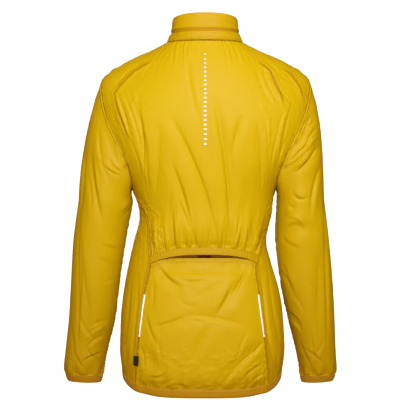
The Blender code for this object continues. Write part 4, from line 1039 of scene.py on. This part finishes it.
class Nodes:
    """A material's node tree, with short calls to add nodes and to join them."""

    def __init__(self, name):
        self.material = bpy.data.materials.new(name)
        self.material.use_nodes = True
        self.tree = self.material.node_tree
        self.shader = self.tree.nodes["Principled BSDF"]

    def feed(self, socket, value):
        """Joins another socket to this one, or sets its value."""
        if isinstance(value, bpy.types.NodeSocket):
            self.tree.links.new(value, socket)
        else:
            socket.default_value = value

    def add(self, kind, **values):
        """A new node with these properties and inputs, whose names have _ for each space."""
        node = self.tree.nodes.new(kind)
        for key, value in values.items():
            if hasattr(node, key):
                setattr(node, key, value)
            else:
                self.feed(node.inputs[key.replace("_", " ")], value)
        return node

    def shade(self, **values):
        for key, value in values.items():
            self.feed(self.shader.inputs[key.replace("_", " ")], value)

    def maths(self, operation, first, second=0):
        node = self.add("ShaderNodeMath", operation=operation)
        self.feed(node.inputs[0], first)
        self.feed(node.inputs[1], second)
        return node.outputs[0]

    def scaled_sum(self, first, first_scale, second, second_scale):
        return self.maths("ADD", self.maths("MULTIPLY", first, first_scale),
                          self.maths("MULTIPLY", second, second_scale))

    def colour_between(self, factor, low, high):
        node = self.add("ShaderNodeMix", data_type="RGBA")
        for index, value in zip(MIX_INPUTS, (factor, low, high)):
            self.feed(node.inputs[index], value)
        return node.outputs[MIX_RESULT]

    def cloudy(self, scale, detail):
        place = self.add("ShaderNodeTexCoord").outputs["Object"]
        return self.add("ShaderNodeTexNoise", Scale=scale, Detail=detail, Vector=place).outputs["Fac"]

    def grained(self, grain, spread, roughness, height, strength, distance):
        """Roughness that varies with the grain, and a bump from this height."""
        rough = self.maths("ADD", self.maths("MULTIPLY", grain, spread), roughness - spread / 2)
        bump = self.add("ShaderNodeBump", Strength=strength, Distance=distance, Height=height)
        self.shade(Roughness=rough, Normal=bump.outputs["Normal"])


def woven(name, light, deep, roughness, pitch, sheen=0, translucent=0, relief=0.1, lapped_and_shaded=None):
    """Plain-woven cloth: crossed threads on the piece's own flat coordinates, and uneven dye."""
    n = Nodes(name)
    flat = n.add("ShaderNodeSeparateXYZ", Vector=n.add("ShaderNodeUVMap", uv_map="cloth").outputs["UV"])
    rate = 2 * math.pi / pitch
    warp, weft = (n.maths("SINE", n.maths("MULTIPLY", flat.outputs[axis], rate)) for axis in "XY")
    threads = n.maths("MULTIPLY", warp, weft)
    grain = n.cloudy(GRAIN_SCALE, 2)
    tint = n.scaled_sum(n.cloudy(BLOTCH_SCALE, 3), 0.75, threads, 0.1)
    tint = n.maths("ADD", tint, n.maths("MULTIPLY", grain, 0.18))
    colour = n.colour_between(tint, deep, light)
    # The deeper colour is mixed in by an attribute: the seams' extra layers, and painted shade towards hems
    # and cuffs, in tucks and in the collar's channel.
    if lapped_and_shaded:
        extra = n.add("ShaderNodeAttribute", attribute_name="layers_and_shade").outputs["Fac"]
        colour = n.colour_between(extra, colour, lapped_and_shaded)
    n.grained(grain, 0.12, roughness, n.scaled_sum(threads, 0.4, grain, 0.8), relief, 0.0004)
    n.shade(Base_Color=colour, Sheen_Weight=sheen, Sheen_Roughness=0.45, Specular_IOR_Level=0.2)
    if translucent:
        glow = n.add("ShaderNodeBsdfTranslucent", Color=colour)
        both = n.add("ShaderNodeMixShader", Fac=translucent)
        n.feed(both.inputs[1], n.shader.outputs[0])
        n.feed(both.inputs[2], glow.outputs[0])
        n.feed(n.tree.nodes["Material Output"].inputs["Surface"], both.outputs[0])
    return n.material


def speckled(name, light, deep, roughness, scale, relief=0.15, coat=0, glow=0):
    """A fine-grained finish for painted metal, film and thread. Glow is emission, a painted reflection that
    stands in for the light that a reflective film sends back to the viewer."""
    n = Nodes(name)
    grain = n.cloudy(scale, 3)
    n.grained(grain, 0.16, roughness, grain, relief, 0.0002)
    n.shade(Base_Color=n.colour_between(grain, deep, light), Coat_Weight=coat, Emission_Color=light,
            Emission_Strength=glow)
    return n.material


# ---- making pieces -------------------------------------------------------------------------------
def link(name, mesh, finish, slot):
    mesh.shade_smooth()
    made = bpy.data.objects.new(name, mesh)
    made.data.materials.append(finish)
    bpy.context.scene.collection.objects.link(made)
    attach(made, "jacket")
    return made


def from_lists(name, points, faces, finish, slot):
    mesh = bpy.data.meshes.new(name)
    mesh.from_pydata(np.asarray(points).tolist(), [], faces)
    return link(name, mesh, finish, slot)


def crowded(share, crowd):
    """Even shares from 0 to 1, drawn towards both ends, where the seams need the finer mesh."""
    return share + crowd * (0.5 - 0.5 * np.cos(np.pi * share) - share)


def shell(name, surface, columns, rows, cut, finish, slot, wall=SHELL, tube=False, crowd=0, marks=None):
    """A thin wall of cloth on surface(across, along), with its flat coordinates as a UV map in metres.
    Marks gives 0 to 1 at each point, where extra layers deepen the cloth's colour and where painted shade
    darkens it."""
    work = bmesh.new()
    work.loops.layers.uv.new("cloth")
    layers = work.verts.layers.float.new("layers_and_shade")
    bmesh.ops.create_grid(work, x_segments=columns, y_segments=rows, size=1, calc_uvs=True)
    flat = (np.array([vertex.co for vertex in work.verts]) + 1) / 2
    across, along = crowded(flat[:, 0], crowd), flat[:, 1]
    placed = surface(across, along)
    deeper = marks(across, along, placed) if marks else np.zeros(len(placed))
    for vertex, point, share in zip(work.verts, placed, deeper):
        vertex.co = point
        vertex[layers] = share
    if tube:
        bmesh.ops.remove_doubles(work, verts=work.verts, dist=1e-6)
    mesh = bpy.data.meshes.new(name)
    work.to_mesh(mesh)
    work.free()
    layer = mesh.uv_layers["cloth"].data
    uv = np.empty(len(layer) * 2, np.float32)
    layer.foreach_get("uv", uv)
    uv = uv.reshape(-1, 2)
    uv[:, 0] = crowded(uv[:, 0], crowd)
    layer.foreach_set("uv", (uv * cut).ravel())
    made = link(name, mesh, finish, slot)
    solid = made.modifiers.new("wall", "SOLIDIFY")
    solid.thickness = wall
    solid.offset = -1
    return made


def cover(solids, *sizes, **more):
    """A shell that is shown in place of these solids."""
    piece = shell(*sizes, **more)
    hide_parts(*solids)


def evenly(points, pitch):
    """Points and their directions at even steps along a line of points."""
    reach = np.concatenate([[0], np.cumsum(np.linalg.norm(np.diff(points, axis=0), axis=1))])
    at = np.arange(pitch / 2, reach[-1], pitch)

    def place(distance):
        return np.stack([np.interp(distance, reach, points[:, axis]) for axis in range(3)], axis=1)

    run = place(at + pitch / 4) - place(at - pitch / 4)
    return place(at), run / np.maximum(np.linalg.norm(run, axis=1, keepdims=True), 1e-12)


def stitches(name, lines, finish, slot):
    """Rows of short stitches: each is a small spindle of thread that lies along its line of points."""
    turns = 2 * np.pi * np.arange(STITCH_SIDES) / STITCH_SIDES
    verts, faces = [], []
    for points, normals in lines:
        for middle, run in zip(*evenly(points, STITCH_PITCH)):
            nearest = int(np.argmin(((points - middle) ** 2).sum(axis=1)))
            up = normals[nearest] - run * float(np.dot(normals[nearest], run))
            up = up / max(np.linalg.norm(up), 1e-9)
            side = np.cross(run, up)
            centre = middle + up * STITCH_LIFT
            base = len(verts)
            verts.append(centre - run * STITCH_LENGTH / 2 - up * THREAD_RADIUS)
            for end in (-STITCH_SHOULDER, STITCH_SHOULDER):
                for turn in turns:
                    ring = (side * math.cos(turn) + up * math.sin(turn)) * THREAD_RADIUS
                    verts.append(centre + run * STITCH_LENGTH * end + ring)
            verts.append(centre + run * STITCH_LENGTH / 2 - up * THREAD_RADIUS)
            for k in range(STITCH_SIDES):
                a, b = base + 1 + k, base + 1 + (k + 1) % STITCH_SIDES
                c, d = a + STITCH_SIDES, b + STITCH_SIDES
                faces += [(base, a, b), (b, a, c, d), (d, c, base + 1 + 2 * STITCH_SIDES)]
    return from_lists(name, verts, faces, finish, slot)


def line_on(surface, across, along):
    """A line of points on a surface with the surface's normals there."""
    across, along = np.broadcast_arrays(np.asarray(across, float), np.asarray(along, float))
    return surface(across, along), outward(surface, across, along)


def make_cloth(yellow):
    """The cut pieces of nylon. Returns their surfaces, for the seams and trims to follow."""
    surfaces = {}

    def panel(name, shapes, columns, rows, cut, solids, **more):
        surfaces[name] = raised(*shapes)
        cover(solids, f"{name}_shell", surfaces[name], columns, rows, cut, yellow, "cloth_yellow", **more)

    panel("back", (back_upper_surface, back_upper_lift, back_fine), 214, 222, BACK_CUT, ["back_upper"],
          crowd=0.45, marks=back_marks)
    panel("tail", (tail_surface, tail_lift, tail_fine), 136, 128, TAIL_CUT, ["back_lower"],
          crowd=0.25, marks=tail_marks)
    panel("collar", (collar_surface, collar_lift, collar_fine), 220, 48, COLLAR_CUT, ["collar"],
          wall=COLLAR_WALL, marks=collar_marks)
    for side, name in SIDES:
        panel(f"front_{name}", (front_surface(side), front_lift(side), front_fine(side)), 118, 204, FRONT_CUT,
              [f"front_{name}"], crowd=0.35, marks=front_marks(side))
        panel(f"sleeve_{name}", (sleeve_surface(side), sleeve_lift(side), sleeve_fine(side)), 134, 222,
              SLEEVE_CUT, [f"sleeve_{name}_upper", f"sleeve_{name}_lower"], tube=True, marks=sleeve_marks)
    return surfaces


def band_ribs(length, pitch, depth, seed):
    """The close, uneven ribs of cloth drawn up on elastic, with a groove along each row of stitches."""
    def lift(across, along, point):
        u = across * length
        wander = 2.4 * noise(u / 0.022, along * 1.2, seed)
        strength = 1 + 1.3 * noise(u / 0.016, along * 0.8, seed + 1)
        rib = (np.abs(np.cos(np.pi * u / pitch + wander)) - 0.64) * strength
        swell = np.sin(np.pi * np.clip(along, 0, 1)) ** 0.5
        stitched = sum(bell(along - row, 0.07) for row in BAND_STITCH_ROWS)
        return BAND_LIFT + depth * rib * swell - 0.00035 * stitched + 0.0003 * swell
    return lift


def make_bands(binding, yellow):
    """Elastic bindings at the vent, hem and cuffs, each a little longer than its solid, over the cloth."""
    surfaces = {}

    def band(name, solid, shapes, columns, cut, finish, **more):
        surfaces[name] = raised(*shapes)
        cover([solid], f"{name}_binding", surfaces[name], columns, BAND_MESH_ROWS, cut, finish,
              "binding_yellow", wall=BAND, **more)

    def vent_band(across, along):
        place = torso_place(vent_edge_z(across) + (VENT_BAND_HEIGHT + BAND_OVERLAP) * along)
        return torso(back_angle(across, place), place)

    def hem_band(across, along):
        place = HEM_RING + (HEM_TOP_RING - BAND_OVERLAP_RINGS - HEM_RING) * along
        offset = 1 - 2 * across
        half = half_of(spline(TORSO, TORSO_COLUMNS, place), offset >= 0)
        return torso(offset * angle_beside_zip(half, ZIP_WIDTH / 2), place)

    def rolled_in(across, along, point):
        """Follows the tail where it turns in towards the hem."""
        angle = np.degrees(np.arctan2(point[..., 0], point[..., 1] + 1e-9))
        seam = np.where(angle > 0, back_edge(PANEL_FOOT, 1), back_edge(PANEL_FOOT, -1))
        flat_angle = np.abs(1 - 2 * across) * 180
        return -HEM_ROLL_DEPTH * smooth((1 - flat_angle / seam) * TAIL_CUT[0] / 2 / HEM_ROLL_SIDE)

    def cuff(side):
        def surface(across, along):
            reach = CUFF_TOP_SECTION - BAND_OVERLAP_RINGS - CUFF_EDGE_SECTION
            return sleeve_section(side, 360 * across * side, CUFF_EDGE_SECTION + reach * along)
        return surface

    ribs = band_ribs(VENT_CUT[0], pitch=0.0058, depth=0.0007, seed=601)
    band("vent", "vent_band", (vent_band, ribs), 210, VENT_CUT, yellow,
         marks=lambda across, along, point: np.full(across.shape, 0.45))
    ribs = band_ribs(HEM_CUT[0], pitch=0.0085, depth=0.0003, seed=611)
    band("hem", "hem_band", (hem_band, rolled_in, ribs), 560, HEM_CUT, binding)
    for side, name in SIDES:
        ribs = band_ribs(CUFF_CUT[0], pitch=0.0055, depth=0.0008, seed=621 + side)
        band(f"cuff_{name}", f"cuff_{name}", (cuff(side), ribs), 180, CUFF_CUT, binding, tube=True)
    return surfaces


def make_allowances(yellow):
    """The seam allowances inside, which close the narrow gaps between the pieces."""
    def strip(name, surface, columns, rows, length, drop=ALLOWANCE_DROP, **more):
        placed = moved_out(surface, -drop) if drop else surface
        cut = (length, ALLOWANCE_WIDTH) if columns > rows else (ALLOWANCE_WIDTH, length)
        shell(name, placed, columns, rows, cut, yellow, "cloth_yellow", **more)

    for side, name in SIDES:
        def beside(first, last):
            def surface(across, along):
                place = first + (last - first) * along
                offset = ALLOWANCE_WIDTH * (across - 0.5)
                return torso(side * further_round(back_edge(place, side), place, -offset * side), place)
            return surface

        def round_armhole(across, along):
            turn = 360 * across * side
            bite, place = armhole(turn)
            sine, cosine = sine_cosine(turn)
            seam = torso(side * (90 - bite), place)
            inner_angle = 90 - INNER_BITE * bite - INNER_SHIFT * sine
            inner = torso(side * inner_angle, place + INNER_RINGS * cosine)
            sleeve = sleeve_cap(side, turn, np.full(np.shape(turn), INNER_CAP))
            inwards = np.clip(1 - 2 * along, 0, 1)[..., None]
            outwards = np.clip(2 * along - 1, 0, 1)[..., None]
            return seam + (inner - seam) * inwards + (sleeve - seam) * outwards

        strip(f"side_allowance_{name}", beside(PANEL_FOOT, UNDERARM_RING + 0.02), 6, 120, SIDE_STRIP)
        strip(f"shoulder_allowance_{name}", beside(TIP_RING - 0.02, 0.03), 6, 40, SHOULDER_STRIP)
        strip(f"armhole_allowance_{name}", round_armhole, 90, 4, ARMHOLE_STRIP, drop=0, tube=True)

    def neck(across, along):
        angle = NECK_HALF_TURN * (1 - 2 * across)
        lower = torso(angle, NECK_DOWN * np.clip(1 - 2 * along, 0, 1))
        upper = collar_ring(angle, NECK_UP * np.clip(2 * along - 1, 0, 1))
        return np.where((along < 0.5)[..., None], lower, upper)

    strip("neck_allowance", neck, 120, 4, NECK_STRIP)


def unit_ball(segments, rings):
    """Points and outward faces of a ball of radius 1: both poles, then each level's points."""
    level, turn = np.meshgrid(
        np.pi * np.arange(1, rings) / rings, 2 * np.pi * np.arange(segments) / segments, indexing="ij")
    between = stack(np.sin(level) * np.cos(turn), np.sin(level) * np.sin(turn), np.cos(level))
    points = np.concatenate([[(0, 0, 1), (0, 0, -1)], between.reshape(-1, 3)])
    lines = [[0, *range(2 + k, len(points), segments), 1] for k in range(segments)]
    faces = []
    for line, following in zip(lines, lines[1:] + lines[:1]):
        for corners in zip(line, line[1:], following[1:], following):
            faces.append(list(dict.fromkeys(corners)))  # a pole counts once, which leaves a triangle
    return points, faces


def make_zip(tape, metal):
    """The closed zip: two woven tapes, and coils that mesh along the middle."""
    def strip(across, along):
        aside = (ZIP_WIDTH / 2 - SEAM_GAP) * (2 * across - 1)
        return zip_middle(along) + stack(aside, 0 * across, 0 * across)

    def wings(across, along):
        inside = zip_middle(WING_ENDS_IN + (1 - 2 * WING_ENDS_IN) * along)
        return inside + stack(WING_HALF * (2 * across - 1), WING_DROP + 0 * across, 0 * across)

    cover(["zip_strip"], "zip_tapes", strip, 8, 220, TAPE_CUT, tape, "zip_yellow", wall=TAPE_WALL)
    shell("zip_tape_edges", wings, 6, 160, WING_CUT, tape, "zip_yellow", wall=THIN_WALL)

    middles, runs = evenly(zip_middle(np.linspace(0, 1, 600)), TOOTH_PITCH)
    right = np.array([1, 0, 0])
    front = np.cross(right, runs)
    front = front / np.linalg.norm(front, axis=1, keepdims=True)
    ball, ball_faces = unit_ball(8, 5)
    offset = TOOTH_STAGGER * (2 * (np.arange(len(middles)) % 2) - 1)
    centres = middles + front * TOOTH_RISE + right * offset[:, None]
    half_wide, half_deep, half_long = TOOTH_HALVES
    placed = (  # the minus sign makes a right-handed frame, so that the faces stay outward
        centres[:, None] + ball[:, 0, None] * half_wide * right
        - ball[:, 1, None] * half_deep * front[:, None] + ball[:, 2, None] * half_long * runs[:, None])
    faces = [[index + k * len(ball) for index in face] for k in range(len(middles)) for face in ball_faces]
    from_lists("zip_coils", placed.reshape(-1, 3), faces, metal, "zip_yellow")


def make_trims(surfaces, silver, printed, black):
    """The reflective strips beside the tail, a plain row of reflective dashes, and the bare side label."""
    for side, name in SIDES:
        def strip(across, along):
            z = REFLECTOR_FOOT_Z + (REFLECTOR_TOP_Z - REFLECTOR_FOOT_Z) * along
            top = torso_place(tail_edge_z(0.5 - 0.5 * side))
            row = (torso_place(z) - PANEL_FOOT) / (top - PANEL_FOOT)
            plain = raised(tail_surface, tail_lift)
            chord = np.linalg.norm(plain(np.ones_like(row), row) - plain(np.zeros_like(row), row), axis=-1)
            width = chord * ARC_OVER_CHORD
            start, share = REFLECTOR_INSET / width, REFLECTOR_WIDTH / width
            column = start + share * across if side > 0 else 1 - start - share * (1 - across)
            return surfaces["tail"](column, row)

        cover([f"reflector_{name}"], f"reflector_{name}_film", moved_out(strip, REFLECTOR_LIFT), 6, 60,
              FILM_CUT, silver, "reflective_silver", wall=THIN_WALL)

    for index in range(DASHES):
        def dash(across, along):
            down = DASH_TOP + index * DASH_PITCH + DASH_LENGTH * (0.5 - along)
            return surfaces["back"](0.5 + (across - 0.5) * DASH_WIDTH / BACK_CUT[0], 1 - down / BACK_CUT[1])

        shell(f"back_dash_{index + 1}", moved_out(dash, DASH_LIFT), 3, 6, (DASH_WIDTH, DASH_LENGTH), printed,
              "reflective_silver", wall=DASH_WALL)

    def label(across, along):
        place = torso_place(LABEL_Z + LABEL_HEIGHT * (along - 0.5))
        seam = back_edge(place, 1)
        degree = np.linalg.norm(torso(seam + 1, place) - torso(seam, place), axis=-1)
        return torso(seam - (across - LABEL_SHARE_BEHIND) * LABEL_WIDTH / degree, place)

    def swell(across, along, point):
        return 2 * FLOAT_GAP + LABEL_THICK + LABEL_SWELL * np.sin(np.pi * along) * np.sin(np.pi * across)

    cover(["label"], "side_label", raised(label, swell), 16, 24, (LABEL_WIDTH, LABEL_HEIGHT), black,
          "label_black", wall=LABEL_THICK)


def make_sewing(cloth, bands, thread):
    """Twin rows of stitches along the seams, and rows along the bindings."""
    up = np.linspace(*ROW_ENDS, 260)
    lines = [line_on(cloth[name], abs(end - inset / width), up)
             for name, width, ends, rows in SEWN for end in ends for inset in STITCH_ROWS_IN[:rows]]
    stitches("seam_stitches", lines, thread, "cloth_yellow")

    turn = np.linspace(0, 1, 240)
    lines = [line_on(cloth[f"sleeve_{name}"], turn, 1 - inset / SLEEVE_CUT[1])
             for _, name in SIDES for inset in STITCH_ROWS_IN]
    lines += [line_on(cloth["collar"], np.linspace(*ROW_ENDS, 240), along) for along in COLLAR_STITCH_ROWS]
    for name, spots in (("vent", np.linspace(*ROW_ENDS, 200)), ("hem", np.linspace(0.002, 0.998, 500)),
                        ("cuff_left", turn), ("cuff_right", turn)):
        lines += [line_on(bands[name], spots, along) for along in BAND_STITCH_ROWS]
    stitches("binding_stitches", lines, thread, "binding_yellow")


# ---- stage, lights and camera --------------------------------------------------------------------
FLOOR_Z = -1.45
STAGE_RADIUS, STAGE_CURVE, STAGE_HEIGHT = 4.2, 1.4, 4.6
CAMERA_PLACE = (0.01, 2.8, -0.316)
CAMERA_LENS, CAMERA_SENSOR = 126, 36
WARM_AIR, AIR_STRENGTH = (1, 0.56, 0.1, 1), 0.4
LIGHTS_AIM = (0, 0, -0.3)
LIGHTS = (  # a name, a place, a size in metres and a power in watts
    ("key", (-0.25, 2.1, 0.75), 0.8, 46),
    ("fill", (0.9, 2.9, -0.6), 2, 14),
    ("front", (0.2, -2.7, 0.3), 2.2, 62),
)


def make_stage():
    """A pale round studio floor that curves up into its wall."""
    profile = [(0, FLOOR_Z)]
    flat_end = STAGE_RADIUS - STAGE_CURVE
    profile += [(flat_end * k / 6, FLOOR_Z) for k in range(1, 7)]
    profile += [(flat_end + STAGE_CURVE * math.sin(a), FLOOR_Z + STAGE_CURVE * (1 - math.cos(a)))
                for a in np.radians(np.linspace(7.5, 90, 12))]
    profile += [(STAGE_RADIUS, FLOOR_Z + STAGE_HEIGHT)]
    work = bmesh.new()
    points = [work.verts.new((r, 0, z)) for r, z in profile]
    edges = [work.edges.new(pair) for pair in zip(points, points[1:])]
    bmesh.ops.spin(work, geom=points + edges, cent=(0, 0, 0), axis=(0, 0, 1), angle=2 * math.pi, steps=96,
                   use_merge=True)
    bmesh.ops.remove_doubles(work, verts=work.verts, dist=1e-5)
    bmesh.ops.recalc_face_normals(work, faces=work.faces)
    mesh = bpy.data.meshes.new("studio")
    work.to_mesh(mesh)
    work.free()
    mesh.shade_smooth()
    studio = bpy.data.objects.new("studio", mesh)
    white = Nodes("studio_white")
    white.shade(Base_Color=STAGE_WHITE, Emission_Color=STAGE_WHITE, Emission_Strength=1, Roughness=0.9)
    studio.data.materials.append(white.material)
    bpy.context.scene.collection.objects.link(studio)
    studio.visible_diffuse = studio.visible_glossy = studio.visible_transmission = False
    studio.visible_shadow = False


def area_light(name, place, size, power):
    data = bpy.data.lights.new(name, "AREA")
    data.shape = "DISK"
    data.size = size
    data.energy = power
    made = bpy.data.objects.new(name, data)
    made.location = place
    made.rotation_euler = (Vector(LIGHTS_AIM) - Vector(place)).to_track_quat("-Z", "Y").to_euler()
    bpy.context.scene.collection.objects.link(made)


def make_light_and_camera():
    scene = bpy.context.scene
    world = bpy.data.worlds.new("studio_air")
    world.use_nodes = True
    background = world.node_tree.nodes["Background"]
    background.inputs["Color"].default_value = WARM_AIR
    background.inputs["Strength"].default_value = AIR_STRENGTH
    scene.world = world
    scene.view_settings.view_transform = "Standard"
    for light in LIGHTS:
        area_light(*light)

    data = bpy.data.cameras.new("camera")
    data.lens = CAMERA_LENS
    data.sensor_width = CAMERA_SENSOR
    camera = bpy.data.objects.new("camera", data)
    camera.location = CAMERA_PLACE
    camera.rotation_euler = (math.pi / 2, 0, math.pi)
    scene.collection.objects.link(camera)
    scene.camera = camera


# ---- the whole scene -----------------------------------------------------------------------------
def main():
    yellow = woven("nylon", CLOTH_LIGHT, CLOTH_DEEP, roughness=0.5, pitch=0.0009, translucent=0.28,
                   lapped_and_shaded=CLOTH_LAPPED_AND_SHADED)
    binding = woven("elastic_binding", BINDING_LIGHT, BINDING_DEEP, roughness=0.55, pitch=0.0008, sheen=0.15,
                    relief=0.25)
    tape = woven("zip_tape", ZIP_YELLOW, BINDING_DEEP, roughness=0.6, pitch=0.0007, sheen=0.1,
                 translucent=0.25, relief=0.35)
    # The film's glow is a painted reflection: emission in place of the light it sends back.
    silver = speckled("reflective_film", SILVER_LIGHT, SILVER_DEEP, roughness=0.36, scale=1800, glow=0.35)
    printed = speckled("printed_film", SILVER_LIGHT, SILVER_DEEP, roughness=0.45, scale=1800)
    black = woven("label_tape", BLACK_LIGHT, BLACK_DEEP, roughness=0.72, pitch=0.0008, sheen=0.1, relief=0.4)
    thread = speckled("thread", THREAD, BINDING_DEEP, roughness=0.5, scale=2500)
    paint = speckled("painted_metal", METAL_YELLOW, BINDING_DEEP, roughness=0.34, scale=1200, relief=0.05,
                     coat=0.4)
    coil = speckled("zip_coil", ZIP_YELLOW, BINDING_DEEP, roughness=0.38, scale=1500)

    cloth = make_cloth(yellow)
    bands = make_bands(binding, yellow)
    make_allowances(yellow)
    make_zip(tape, coil)
    make_trims(cloth, silver, printed, black)
    make_sewing(cloth, bands, thread)
    for name in ("zip_slider", "zip_pull"):
        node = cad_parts[name]
        node.data.materials.clear()
        node.data.materials.append(paint)
    make_stage()
    make_light_and_camera()


main()
